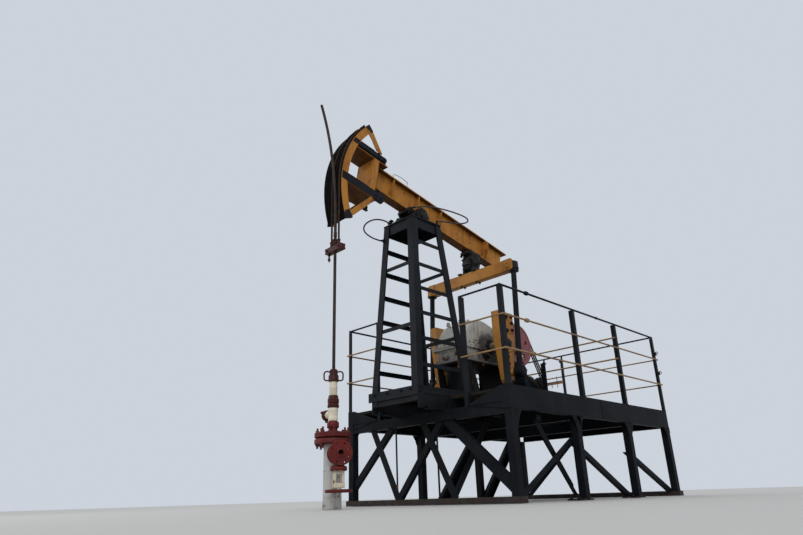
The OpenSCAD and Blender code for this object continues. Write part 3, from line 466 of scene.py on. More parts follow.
RUSTY = rusty("rusty_steel")
GBEAM = rusty("ground_beam_rust", (0.0085, 0.0065, 0.0055), (0.024, 0.0135, 0.0095), (0.060, 0.028, 0.016), oil=0.55)
GREASE = greasy("greased_iron")
CAST = casting()
PLANK = planks()
RUBBER = rubber()
ROPE = rope()
STEEL = steel()
RODST = rusty("rod_steel", (0.013, 0.0085, 0.0075), (0.040, 0.0200, 0.0135), (0.075, 0.040, 0.025), oil=0.15)
FACE = face_paint()
SKIDP = paint("skid_paint", (0.0065, 0.0075, 0.0095), (0.012, 0.0125, 0.0135), rust=0.26, dust=0.25, streak=0.6, rough=0.50,
              chip=0.6, dustc=(0.045, 0.039, 0.033), grime=(0.006, 0.005, 0.0045), spec=0.10)

ASSIGN = {
    BLACK: ["legs", "girders", "end_beams", "cross_beams", "corner_plates", "side_braces", "end_braces",
            "deck_stringers"],
    BLACK2: ["tower_side_near", "tower_side_far", "tower_ties", "tower_top", "guard_posts", "guard_top_rails",
             "head_arms", "pitmans"],
    # the reducer pedestal takes this dark skid paint as painted shade: it stands in shadow under the reducer
    SKIDP: ["skid_channels", "skid_ties", "reducer_pedestal", "motor_rails"],
    BEAMP: ["walking_beam", "head_frame"],
    OCHRE: ["equalizer", "cranks"],
    OCHRE2: ["guard_mid_rails"],
    MAROON: ["casing_flanges", "stuffing_box", "side_valve", "valve_handwheel"],
    MAROON2: ["carrier_bar"],
    CREAM: ["casing", "tubing_tee"],
    PULLEY: ["reducer_pulley"],
    MOTORC: ["motor"],
    GBEAM: ["ground_beams"],
    GREASE: ["tail_bearing", "saddle_bearings", "motor_pulley"],
    CAST: ["reducer_lower", "reducer_upper"],
    PLANK: ["deck_boards"],
    RUBBER: ["grease_hoses", "drive_belts"],
    ROPE: ["wrapped_cables", "bridle_cables"],
    STEEL: ["crankshaft"],
    RODST: ["polished_rod"],
    FACE: ["head_face"],
}
for mat, names in ASSIGN.items():
    for nm in names:
        for sl in NODES[nm].material_slots:
            sl.material = mat



# --- mesh tools --------------------------------------------------------------
R = random.Random(7)
V = Vector
TILT = math.radians(10.8)
PIVOT = V((0, 0, 3.345))


def bf(u, y, w):
    """A point of the walking beam's own frame (along, across, above the pivot) in the row frame."""
    return V((u * math.cos(TILT) + w * math.sin(TILT), y, 3.345 - u * math.sin(TILT) + w * math.cos(TILT)))


BROT = Matrix.Rotation(TILT, 3, "Y")


def frame_of(axis, hint=None):
    z = V(axis).normalized()
    x = V(hint) if hint is not None else (V((0, 0, 1)) if abs(z.z) < 0.9 else V((1, 0, 0)))
    x = (x - z * x.dot(z)).normalized()
    return x, z.cross(x), z


class Kit:
    """Collects many small solids of one piece in one bmesh."""
    def __init__(self):
        self.bm = bmesh.new()

    def loops(self, rings, closed=False, cap=True):
        bm = self.bm
        vs = [[bm.verts.new(p) for p in r] for r in rings]
        n = len(vs[0])
        m = len(vs)
        for i in range(m if closed else m - 1):
            a, b = vs[i], vs[(i + 1) % m]
            for k in range(n):
                bm.faces.new((a[k], a[(k + 1) % n], b[(k + 1) % n], b[k]))
        if cap and not closed:
            bm.faces.new(list(reversed(vs[0])))
            bm.faces.new(vs[-1])

    def lathe(self, prof, org, axis, n=24, hint=None, wob=0.0, closed=False):
        """prof is [(distance along the axis, radius)...]."""
        x, y, z = frame_of(axis, hint)
        org = V(org)
        rings = []
        for t, r in prof:
            ring = []
            for k in range(n):
                a = 2 * math.pi * k / n
                rr = max(r, 0.0002)
                if wob:
                    rr += wob * (mnoise.noise(V((math.cos(a) * 3, math.sin(a) * 3, t * 40)) + org * 7))
                ring.append(org + z * t + x * (rr * math.cos(a)) + y * (rr * math.sin(a)))
            rings.append(ring)
        self.loops(rings, closed=closed)

    def cyl(self, a, b, r, n=16, ch=0.0015):
        a, b = V(a), V(b)
        L = (b - a).length
        c = min(ch, r * 0.4, L * 0.3)
        self.lathe([(0, r - c), (c, r), (L - c, r), (L, r - c)], a, b - a, n)

    def hexa(self, org, axis, af, h, hint=None):
        """A hexagon with chamfered corners; af across flats."""
        r = af / 1.732
        self.lathe([(0, r), (h * 0.78, r), (h, r * 0.86)], org, axis, 6, hint or V((R.random(), R.random(), R.random())))

    def bolt(self, org, axis, d=0.016, washer=True, stud=0.3, nut=True):
        """Head or nut with washer and a little of the thread, seated at org, pointing along axis."""
        z = V(axis).normalized()
        o = V(org)
        if washer:
            self.cyl(o - z * 0.002, o + z * 0.12 * d, d * 1.05, 12, 0.0004)
            o = o + z * 0.12 * d
        self.hexa(o, z, d * 1.62, d * 0.75)
        if stud:
            self.cyl(o + z * d * 0.7, o + z * d * (0.75 + stud), d * 0.48, 8, 0.001)

    def box(self, lo, hi, mat=None, org=None, ch=0.0):
        bm = self.bm
        pts = [V((x, y, z)) for z in (lo[2], hi[2]) for y in (lo[1], hi[1]) for x in (lo[0], hi[0])]
        if mat is not None:
            pts = [mat @ p for p in pts]
        if org is not None:
            pts = [V(org) + p for p in pts]
        v = [bm.verts.new(p) for p in pts]
        fs = [bm.faces.new([v[i] for i in f]) for f in
              ((0, 2, 3, 1), (4, 5, 7, 6), (0, 1, 5, 4), (2, 6, 7, 3), (0, 4, 6, 2), (1, 3, 7, 5))]
        if ch:
            bmesh.ops.bevel(bm, geom=list({e for f in fs for e in f.edges}), offset=ch, segments=2, affect="EDGES", profile=0.6)

    def tube(self, pts, r, n=8, closed=False):
        """A bent round bar through pts."""
        pts = [V(p) for p in pts]
        m = len(pts)
        prev = None
        rings = []
        for i in range(m):
            a = pts[(i - 1) % m] if closed or i else pts[0]
            b = pts[(i + 1) % m] if closed or i < m - 1 else pts[-1]
            t = (b - a).normalized()
            if prev is None:
                x = frame_of(t)[0]
            else:
                x = (prev - t * prev.dot(t)).normalized()
            prev = x
            y = t.cross(x)
            rr = r[i] if isinstance(r, (list, tuple)) else r
            rings.append([pts[i] + x * (rr * math.cos(2 * math.pi * k / n)) + y * (rr * math.sin(2 * math.pi * k / n)) for k in range(n)])
        self.loops(rings, closed=closed)

    def weld(self, a, b, r=0.005, seed=0):
        """A weld bead from a to b, uneven like one laid by hand."""
        a, b = V(a), V(b)
        n = max(3, int((b - a).length / 0.012))
        pts, rs = [], []
        for i in range(n + 1):
            t = i / n
            j = mnoise.noise(V((t * n * 0.9, seed * 3.1, a.x * 5 + a.z)))
            pts.append(a.lerp(b, t) + V((mnoise.noise(V((t * n, 1, seed))), mnoise.noise(V((t * n, 5, seed))), j)) * r * 0.25)
            rs.append(r * (0.85 + 0.35 * j))
        self.tube(pts, rs, 6)

    def plate(self, outline, org, ux, uy, th, ch=0.0):
        """A flat plate: outline in the plane of ux, uy, thickness th along their normal."""
        ux, uy, o = V(ux).normalized(), V(uy).normalized(), V(org)
        nz = ux.cross(uy)
        bm = self.bm
        a = [bm.verts.new(o + ux * p[0] + uy * p[1]) for p in outline]
        b = [bm.verts.new(o + ux * p[0] + uy * p[1] + nz * th) for p in outline]
        n = len(outline)
        fs = [bm.faces.new(list(reversed(a))), bm.faces.new(b)]
        for k in range(n):
            fs.append(bm.faces.new((a[k], a[(k + 1) % n], b[(k + 1) % n], b[k])))
        if ch:
            bmesh.ops.bevel(bm, geom=list({e for f in fs[:2] for e in f.edges}), offset=ch, segments=2, affect="EDGES")

    def done(self, name, mat, body, smooth=None, replaces=(), slot=None, sub=0, rough=None):
        bm = self.bm
        bmesh.ops.recalc_face_normals(bm, faces=bm.faces)
        me = bpy.data.meshes.new(name)
        bm.to_mesh(me)
        bm.free()
        ob = bpy.data.objects.new(name, me)
        bpy.context.collection.objects.link(ob)
        me.materials.append(mat)
        if smooth is not None:
            me.shade_smooth()
            me.set_sharp_from_angle(angle=math.radians(smooth))
        if sub:
            k = ob.modifiers.new("smooth", "SUBSURF")
            k.levels = k.render_levels = sub
        if rough:
            tex = bpy.data.textures.new(name, "CLOUDS")
            tex.noise_scale = rough[1]
            tex.noise_depth = 3
            k = ob.modifiers.new("lumps", "DISPLACE")
            k.texture = tex
            k.strength = rough[0]
            k.mid_level = 0.5
            k.texture_coords = "GLOBAL"
        if body:
            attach(ob, body)
        if replaces:
            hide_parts(*replaces)
        return ob


def arc_pts(r, b0, b1, n, y, off=0.0):
    """Points on the head's arc: angles above the beam's line, degrees, from the pivot."""
    out = []
    for i in range(n + 1):
        b = math.radians(b0 + (b1 - b0) * i / n)
        out.append(bf(-r * math.cos(b), y, r * math.sin(b)))
    return out

# ---- cables, head, beam -----------------------------------------------------
def strand_rope(k, pts, r, pitch=0.085):
    """A laid wire rope: six strands twisted about the line."""
    pts = [V(p) for p in pts]
    out = [pts[0]]
    for a, b in zip(pts, pts[1:]):
        n = max(1, int((b - a).length / 0.006))
        out += [a.lerp(b, (i + 1) / n) for i in range(n)]
    rings, prev, s = [], None, 0.0
    for i, p in enumerate(out):
        t = (out[min(i + 1, len(out) - 1)] - out[max(i - 1, 0)]).normalized()
        x = frame_of(t)[0] if prev is None else (prev - t * prev.dot(t)).normalized()
        prev, y = x, t.cross(x)
        if i:
            s += (p - out[i - 1]).length
        ring = []
        for q in range(24):
            a = 2 * math.pi * q / 24
            rr = r * (0.90 + 0.10 * abs(math.cos(3 * (a - 2 * math.pi * s / pitch))) ** 0.7 * 1.0)
            ring.append(p + x * (rr * math.cos(a)) + y * (rr * math.sin(a)))
        rings.append(ring)
    k.loops(rings)


RODX, RODY, CR = -1.281, -0.078, 0.011
k = Kit()
for sy in (-1, 1):
    strand_rope(k, arc_pts(1.281, -10.74, 34, 80, RODY + sy * 0.06), CR)
k.done("wrapped_ropes", ROPE, "beam", 60, ("wrapped_cables",), "rusty_steel")
k = Kit()
for sy in (-1, 1):
    strand_rope(k, [(RODX, RODY + sy * 0.06, 3.349), (RODX, RODY + sy * 0.06, 2.62)], CR)
ob = k.done("bridle_ropes", ROPE, None, 60)
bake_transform(ob)
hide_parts("bridle_cables")

# flat keepers over the upper ends of the two ropes
k = Kit()
for sy in (-1, 1):
    y = RODY + sy * 0.06
    for a0 in (32.6,):
        p = bf(-1.281 * math.cos(math.radians(a0)), y, 1.281 * math.sin(math.radians(a0)))
        n = (p - PIVOT).normalized()
        t = V((0, 1, 0)).cross(n).normalized()
        k.box((-0.030, -0.014, -0.008), (0.030, 0.014, 0.0135), Matrix((V((0, 1, 0)), t, n)).transposed(), p, 0.005)
k.done("rope_clips", GREASE, "beam", 40)

# head: welds, bolts, lifting lug, edges
k = Kit()
for s in (-1, 1):
    y = s * 0.151
    for r, b0, b1 in ((1.176, -29.5, -11), (1.176, -2, 16), (1.176, 22, 37.5), (1.259, -29, 37.8)):
        pts = arc_pts(r, b0, b1, int((b1 - b0) * 2), y - s * 0.002)
        k.tube(pts, [0.0045 * (0.8 + 0.5 * abs(mnoise.noise(p * 60))) for p in pts], 6)
    for u0, w0, u1, w1 in ((-1.15, 0.375, -0.62, 0.375), (-1.2, -0.164, -0.73, -0.164), (-0.762, -0.064, -0.762, 0.36),
                           (-1.072, -0.55, -0.80, -0.20), (-1.0, 0.71, -0.765, 0.50)):
        k.weld(bf(u0, s * 0.141, w0), bf(u1, s * 0.141, w1), 0.004, u0 * 9)
for s in (-1, 1):
    br = [(-1.013, 0.678), (-0.985, 0.716), (-0.941, 0.716), (-0.745, 0.488), (-0.748, 0.474), (-0.838, 0.474)]
    y1 = max(s * 0.1515, s * 0.1575)
    k.plate(br, PIVOT + V((0, y1, 0)), BROT @ V((1, 0, 0)), BROT @ V((0, 0, 1)), 0.006, 0.0015)
    a, b = bf(-0.935, 0, 0.712), bf(-0.747, 0, 0.493)
    d = (b - a).normalized()
    nn = V((0, 1, 0)).cross(d).normalized()
    k.box((0, min(s * 0.152, s * 0.104), -0.003), ((b - a).length, max(s * 0.152, s * 0.104), 0.003), Matrix((d, V((0, 1, 0)), d.cross(V((0, 1, 0))))).transposed(), a, 0.001)
k.done("head_welds", BEAMP, "beam", 60)
k = Kit()
for s in (-1, 1):
    for aw, ah, ue in ((0.402, 0.066, -0.65), (-0.165, 0.10, -0.61)):
        for u in (ue - 0.045, ue - 0.12):
            k.bolt(bf(u, s * 0.150, aw + ah * 0.5), (0, s, 0), 0.014, False, 0.2)
        k.weld(bf(-1.18, s * 0.150, aw), bf(-0.86, s * 0.150, aw), 0.004, aw)
        k.weld(bf(-1.18, s * 0.150, aw + ah), bf(-0.86, s * 0.150, aw + ah), 0.004, aw + 1)
k.done("head_bolts", BLACK2, "beam", 40)

# black channel arms with rounded ends, gussets on the arc's tips, small packers on the beam
k = Kit()
for s in (-1, 1):
    for aw, ah, ue in ((0.402, 0.066, -0.65), (-0.165, 0.10, -0.61)):
        u0 = -math.sqrt(1.2585 ** 2 - (aw + ah / 2) ** 2)
        m3 = BROT
        y0, y1 = sorted((s * 0.150, s * 0.1425))
        k.plate([(u0, aw), (ue - 0.02, aw), (ue, aw + 0.02), (ue, aw + ah - 0.02), (ue - 0.02, aw + ah), (u0 - 0.004 if aw < 0 else u0 + 0.02, aw + ah)],
                PIVOT + V((0, y1, 0)), BROT @ V((1, 0, 0)), BROT @ V((0, 0, 1)), 0.0075, 0.002)
        for w0 in (aw, aw + ah - 0.008):
            y0, y1 = sorted((s * 0.149, s * 0.106))
            k.box((u0 + 0.03, y0, w0), (ue - 0.012, y1, w0 + 0.008), BROT, PIVOT, 0.002)
    for tip in ([(-1.112, -0.640), (-1.125, -0.545), (-1.075, -0.500), (-1.010, -0.575)], [(-1.000, 0.775), (-1.035, 0.715), (-0.960, 0.660), (-0.930, 0.700)]):
        y1 = max(s * 0.158, s * 0.1505)
        k.plate(tip, PIVOT + V((0, y1, 0)), BROT @ V((1, 0, 0)), BROT @ V((0, 0, 1)), 0.0075, 0.002)
        q = [bf(a0, s * 0.1505, b0) for a0, b0 in tip]
        for i in range(4):
            k.weld(q[i - 1], q[i], 0.003, i)
    for u in (-0.69, -0.635):
        y0, y1 = sorted((s * 0.060, s * 0.020))
        k.box((u, y0, -0.050), (u + 0.030, y1, 0.0485), BROT, PIVOT, 0.003)
    y0, y1 = sorted((s * 0.142, s * 0.030))
    k.box((-0.69, y0, 0.375), (-0.652, y1, 0.402), BROT, PIVOT, 0.003)
k.box((-0.70, -0.142, -0.0645), (-0.625, 0.142, -0.0495), BROT, PIVOT, 0.003)
k.done("black_head_arms", BLACK2, "beam", 40, ("head_arms",), "black_paint")

# beam: stiffener welds, wire handle, flange bolts at the saddle and tail
k = Kit()
for u in (-0.696, -0.42, 0.03, 0.455, 1.37):
    for s in (-1, 1):
        for uu in (u - 0.001, u + 0.011):
            k.weld(bf(uu, s * 0.0065, 0.066), bf(uu, s * 0.0065, 0.349), 0.0045, u + s)
            k.weld(bf(uu, s * 0.008, 0.0645), bf(uu, s * 0.058, 0.0645), 0.0045, u + s * 2)
for s in (-1, 1):
    k.weld(bf(-0.69, s * 0.0065, 0.0655), bf(1.79, s * 0.0065, 0.0655), 0.004, s * 3)
    k.weld(bf(-0.69, s * 0.0065, 0.3505), bf(1.85, s * 0.0065, 0.3505), 0.004, s * 4)
# round-edged stiffeners across the web near the tail
for s in (-1, 1):
    dd = [(s * 0.0050, 0.0665)] + [(s * (0.056 + 0.072 * math.sin(math.radians(a))), 0.2075 - 0.141 * math.cos(math.radians(a))) for a in range(0, 181, 10)] + [(s * 0.0050, 0.3485)]
    o = bf(1.366, 0, 0)
    k.plate(dd if s > 0 else dd[::-1], o, (0, 1, 0), BROT @ V((0, 0, 1)), 0.0095, 0.0015)
k.done("beam_welds", BEAMP, "beam", 60)
k = Kit()
hp = [(-0.44, 0.366), (-0.44, 0.40), (-0.425, 0.43), (-0.40, 0.44), (-0.30, 0.452), (-0.21, 0.446), (-0.19, 0.43), (-0.185, 0.40), (-0.185, 0.366)]
k.tube([bf(u, -0.045, w) for u, w in hp], 0.0045, 8)
for u in (-0.44, -0.185):
    k.weld(bf(u - 0.012, -0.045, 0.369), bf(u + 0.012, -0.045, 0.369), 0.006, u)
k.lathe([(0, 0.02), (0.012, 0.024), (0.03, 0.016), (0.05, 0.010), (0.055, 0.004)], bf(-0.30, 0.02, 0.366), BROT @ V((0, 0, 1)), 12)
k.done("beam_handle", STEEL, "beam", 50)

# black clamp of the saddle under the beam, with its bolts
k = Kit()
M3 = BROT
for s in (-1, 1):
    k.box((-0.165, s * 0.064 - 0.034, 0.016), (0.165, s * 0.064 + 0.034, 0.0495), M3, PIVOT, 0.004)
    k.box((-0.06, s * 0.083 - 0.006, -0.055), (0.06, s * 0.083 + 0.006, 0.018), M3, PIVOT, 0.005)
    for u in (-0.135, -0.085, 0.085, 0.135):
        k.bolt(bf(u, s * 0.082, 0.016), BROT @ V((0, 0, -1)), 0.020, True, 0.7)
        k.bolt(bf(u, s * 0.048, 0.0635), BROT @ V((0, 0, 1)), 0.018, True, 0.5)
        k.box((u - 0.022, s * 0.064 - 0.030 + s * 0.006, 0.0495), (u + 0.022, s * 0.064 + 0.030 + s * 0.006, 0.070), M3, PIVOT, 0.003)
k.box((-0.175, -0.0665, 0.010), (0.175, 0.0665, 0.0490), M3, PIVOT, 0.006)
for s in (-1, 1):
    k.box((-0.150, s * 0.0675 - 0.0035, 0.0480), (0.150, s * 0.0675 + 0.0035, 0.0655), M3, PIVOT, 0.003)
for i in range(40):
    u0, s = R.uniform(-0.16, 0.16), R.choice((-1, 1))
    r0 = 0.008 + 0.012 * R.random()
    k.lathe([(-r0, 0.002), (-r0 * 0.7, r0 * 0.7), (0, r0), (r0 * 0.7, r0 * 0.7), (r0, 0.002)], bf(u0, s * (0.058 + 0.012 * R.random()), R.uniform(0.012, 0.052)), (R.random() - 0.5, R.random() - 0.5, -0.6), 8)
k.done("saddle_clamp", GREASE, "beam", 40)

# saddle bearings: pillow blocks with split caps, lumpy with grease
k = Kit()
for s in (-1, 1):
    y0, y1 = s * 0.106, s * 0.202
    yc = (y0 + y1) / 2
    hw2 = abs(y1 - y0) / 2
    k.box((-0.125, yc - hw2, 3.250), (0.125, yc + hw2, 3.279), None, None, 0.006)
    prof = [(-0.088, 3.279), (0.088, 3.279), (0.092, 3.335)] + [(0.094 * math.cos(math.radians(a)), 3.345 + 0.090 * math.sin(math.radians(a))) for a in range(0, 181, 12)] + [(-0.092, 3.335)]
    k.plate([(p[0], p[1]) for p in prof], (0, yc + hw2 - 0.006, 0), (1, 0, 0), (0, 0, 1), 2 * hw2 - 0.012, 0.006)
    k.lathe([(0, 0.062), (0.012, 0.060), (0.016, 0.050), (0.02, 0.012)], (0, y1 - s * 0.004, 3.345), (0, s, 0), 28)
    for a in range(6):
        t = math.radians(60 * a + 15)
        k.bolt((0.050 * math.cos(t), y1 + s * 0.006, 3.345 + 0.050 * math.sin(t)), (0, s, 0), 0.010, False, 0.2)
    for x in (-1, 1):
        k.box((x * 0.107 - 0.017, yc - 0.026, 3.318), (x * 0.107 + 0.017, yc + 0.026, 3.352), None, None, 0.004)
        k.bolt((x * 0.107, yc, 3.352), (0, 0, 1), 0.018, True, 0.9)
        k.cyl((x * 0.107, yc, 3.276), (x * 0.107, yc, 3.322), 0.010, 10)
        for dy in (-0.024, 0.024):
            k.bolt((x * 0.108, yc + dy, 3.279), (0, 0, 1), 0.013, True, 0.6)
    k.lathe([(0, 0.010), (0.012, 0.010), (0.014, 0.006), (0.03, 0.006)], (0.0, yc, 3.434), (0, 0, 1), 8)
k.done("pillow_blocks", GREASE, "frame", 45, ("saddle_bearings",), "black_paint")
k = Kit()
for s in (-1, 1):
    for x in (-1, 1):
        for yy in (0.06, 0.215):
            k.bolt((x * 0.215, s * yy, 3.2505), (0, 0, 1), 0.014, True, 0.5)
    k.weld((-0.25, s * 0.2505, 3.2345), (0.245, s * 0.2505, 3.2345), 0.005, s)
for x in (-0.2555, 0.2495):
    k.weld((x, -0.245, 3.2345), (x, 0.245, 3.2345), 0.005, x)
k.done("tower_top_bolts", BLACK2, "frame", 45)


# ---- ragged tail bearing ----------------------------------------------------
k = Kit()
k.lathe([(-0.064, 0.03), (-0.064, 0.080), (-0.056, 0.106), (-0.02, 0.112), (0.02, 0.111), (0.052, 0.107), (0.064, 0.086), (0.064, 0.03)], bf(1.17, 0, -0.127), (0, 1, 0), 44, closed=True)
k.box((1.085, -0.078, -0.12), (1.278, 0.078, 0.03), BROT, PIVOT, 0.020)
k.box((1.030, -0.076, 0.022), (1.310, 0.076, 0.0485), BROT, PIVOT, 0.008)
k.box((1.010, -0.060, -0.010), (1.100, 0.066, 0.030), BROT, PIVOT, 0.014)
for s in (-1, 1):
    k.box((1.17 + s * 0.098 - 0.024, -0.055, -0.170), (1.17 + s * 0.098 + 0.024, 0.055, -0.085), BROT, PIVOT, 0.010)
for i in range(120):
    a = R.random() * 6.28
    rr = 0.108
    p = bf(1.17 + rr * math.cos(a), (R.random() - 0.5) * 0.13, -0.122 + rr * math.sin(a)) if i % 3 else bf(R.uniform(1.04, 1.30), R.choice((-1, 1)) * 0.072, R.uniform(-0.09, 0.04))
    r0 = 0.008 + 0.017 * R.random()
    k.lathe([(-r0, 0.002), (-r0 * 0.7, r0 * 0.7), (0, r0), (r0 * 0.7, r0 * 0.7), (r0 * 1.3, 0.002)], p, (R.random() - 0.5, R.random() - 0.5, -0.9), 8)
bmesh.ops.subdivide_edges(k.bm, edges=[e for e in k.bm.edges if e.calc_length() > 0.026], cuts=2, use_grid_fill=True)
k.done("greasy_tail_bearing", GREASE, "beam", 50, ("tail_bearing",), "black_paint", rough=(0.030, 0.028))
k = Kit()
for s in (-1, 1):
    for u in (1.06, 1.10, 1.24, 1.28):
        k.bolt(bf(u, s * 0.052, 0.0205), BROT @ V((0, 0, -1)), 0.018, True, 0.8)
        k.bolt(bf(u, s * 0.045, 0.0635), BROT @ V((0, 0, 1)), 0.016, True, 0.6)
k.done("tail_bolts", GREASE, "beam", 40)

# ---- equalizer --------------------------------------------------------------
EX, EZ, QX, QZ = 1.12548, 3.00101, 1.090, 2.800
k = Kit()
k.box((QX - 0.055, -0.662, QZ - 0.075), (QX + 0.055, 0.662, QZ + 0.075), None, None, 0.006)
for s in (-1, 1):
    for f in (-1, 1):
        # cheeks past the box's end, rounded, with the pin's turned ring
        cheek = [(s * 0.600, QZ - 0.0745), (s * 0.700, QZ - 0.0745), (s * 0.722, QZ - 0.068), (s * 0.732, QZ - 0.052)] + [(s * (0.692 + 0.040 * math.cos(math.radians(a))), QZ + 0.0345 + 0.040 * math.sin(math.radians(a))) for a in range(0, 91, 15)] + [(s * 0.600, QZ + 0.0745)]
        x1 = QX + (0.0545 if f > 0 else -0.0630)
        k.plate(cheek if s > 0 else cheek[::-1], (x1, 0, 0), (0, 1, 0), (0, 0, 1), 0.0085, 0.0015)
        k.lathe([(0.0, 0.030), (0.0, 0.040), (0.004, 0.042), (0.010, 0.040), (0.011, 0.033), (0.006, 0.030), (0.006, 0.022), (0.014, 0.019), (0.016, 0.014), (0.016, 0.001)], (QX + f * 0.0625, s * 0.655, QZ - 0.018), (f, 0, 0), 28)
k.weld((QX - 0.056, -0.65, QZ - 0.0745), (QX - 0.056, 0.65, QZ - 0.0745), 0.0035, 3)
k.done("equalizer_box", OCHRE, "equalizer", 40, ("equalizer",), "ochre_paint")
k = Kit()
for s in (-1, 1):
    out = [(-0.078, QZ + 0.075 - EZ), (0.078, QZ + 0.075 - EZ), (0.070, -0.03)] + [(0.064 * math.cos(math.radians(a)), 0.064 * math.sin(math.radians(a))) for a in range(-10, 191, 12)] + [(-0.070, -0.03)]
    k.plate(out, (EX, s * 0.077 + 0.0145, EZ), (1, 0, 0), (0, 0, 1), 0.029, 0.004)
    k.cyl((EX, s * 0.09, EZ), (EX, s * 0.108, EZ), 0.036, 20, 0.004)
    k.bolt((EX, s * 0.108, EZ), (0, s, 0), 0.022, True, 0.6)
    for x in (-0.05, 0.05):
        k.box((QX + x - 0.035, s * 0.12 - 0.03, QZ + 0.0748), (QX + x + 0.035, s * 0.12 + 0.03, QZ + 0.090), None, None, 0.003)
k.cyl((EX, -0.095, EZ), (EX, 0.095, EZ), 0.0295, 20)
k.box((QX - 0.056, -0.15, QZ + 0.0745), (QX + 0.10, 0.15, QZ + 0.0865), None, None, 0.003)
for s in (-1, 1):
    for x in (-0.034, 0.034):
        for yy in (0.075, 0.128):
            k.bolt((QX + x, s * yy, QZ + 0.0865), (0, 0, 1), 0.015, True, 0.4)
            if yy > 0.1:
                k.bolt((QX + x, s * yy, QZ - 0.075), (0, 0, -1), 0.017, True, 0.6)
k.done("equalizer_yoke", GREASE, "equalizer", 40)

# ---- pitmans ----------------------------------------------------------------
k = Kit()
for s in (-1, 1):
    a, b = V((1.010, s * 0.700, 1.430)), V((QX, s * 0.700, QZ))
    d = (b - a).normalized()
    L = (b - a).length
    k.lathe([(0.05, 0.030), (0.075, 0.0335), (L - 0.115, 0.0335), (L - 0.09, 0.036)], a, d, 24)
    k.box((QX - 0.0535, s * 0.705 - 0.0385, QZ - 0.098), (QX + 0.0535, s * 0.705 + 0.0385, QZ + 0.040), None, None, 0.007)
    for f in (-1, 1):
        k.bolt((QX + f * 0.03, s * 0.7435, QZ - 0.055), (0, s, 0), 0.015, False, 0.3)
    # bearing housing on the crank pin
    y0, y1 = s * 0.645, s * 0.755
    k.lathe([(0, 0.050), (0.001, 0.062), (0.008, 0.072), (0.098, 0.074), (0.106, 0.066), (0.110, 0.048), (0.116, 0.044), (0.117, 0.01)], (a.x, y0, a.z), (0, s, 0), 36)
    for i in range(6):
        t = math.radians(60 * i + 12)
        k.bolt((a.x + 0.058 * math.cos(t), y1 - s * 0.003, a.z + 0.058 * math.sin(t)), (0, s, 0), 0.010, False, 0.3)
    k.box((-0.040, -0.036, 0.045), (0.040, 0.036, 0.115), Matrix((frame_of(d, (1, 0, 0))[0], V((0, 1, 0)), d)).transposed(), a, 0.012)
    k.weld(a + d * 0.114 + V((-0.034, 0, 0)), a + d * 0.114 + V((0.034, 0, 0)), 0.006, s)
k.done("pitman_pipes", BLACK2, "equalizer", 40, ("pitmans",), "black_paint")


# ---- reducer ----------------------------------------------------------------
SX, SZ = 1.010, 1.790


def hull2(circles, n=48):
    pts = []
    for cx, cz, r in circles:
        pts += [(cx + r * math.cos(2 * math.pi * k / n), cz + r * math.sin(2 * math.pi * k / n)) for k in range(n)]
    pts = sorted(set((round(a, 5), round(b, 5)) for a, b in pts))

    def half(ps):
        h = []
        for p in ps:
            while len(h) > 1 and (h[-1][0] - h[-2][0]) * (p[1] - h[-2][1]) - (h[-1][1] - h[-2][1]) * (p[0] - h[-2][0]) <= 1e-9:
                h.pop()
            h.append(p)
        return h[:-1]
    return half(pts) + half(pts[::-1])


def cut_above(poly, z):
    out = []
    for i, b in enumerate(poly):
        a = poly[i - 1]
        if (a[1] >= z) != (b[1] >= z):
            t = (z - a[1]) / (b[1] - a[1])
            out.append((a[0] + (b[0] - a[0]) * t, z))
        if b[1] >= z:
            out.append(b)
    return out


def cut_below(poly, z):
    return [(x, 2 * z - y) for x, y in cut_above([(x, 2 * z - y) for x, y in poly], z)]


def casting_slab(k, poly, y0, y1, ch, inset=0.0):
    """A slab across Y with round long edges and a soft draft."""
    cx = sum(p[0] for p in poly) / len(poly)
    cz = sum(p[1] for p in poly) / len(poly)

    def ring(y, d):
        return [V((cx + (x - cx) * (1 - d / max(0.05, math.hypot(x - cx, z - cz))), y, cz + (z - cz) * (1 - d / max(0.05, math.hypot(x - cx, z - cz))))) for x, z in poly]
    rings = [ring(y0, ch + inset)]
    for i in range(1, 7):
        a = math.pi / 2 * i / 6
        rings.append(ring(y0 + ch * (1 - math.cos(a)), ch * (1 - math.sin(a)) + inset * (1 - i / 6)))
    rings.append(ring((y0 + y1) / 2, 0))
    for i in range(6, 0, -1):
        a = math.pi / 2 * i / 6
        rings.append(ring(y1 - ch * (1 - math.cos(a)), ch * (1 - math.sin(a)) + inset * (1 - i / 6)))
    rings.append(ring(y1, ch + inset))
    k.loops(rings)


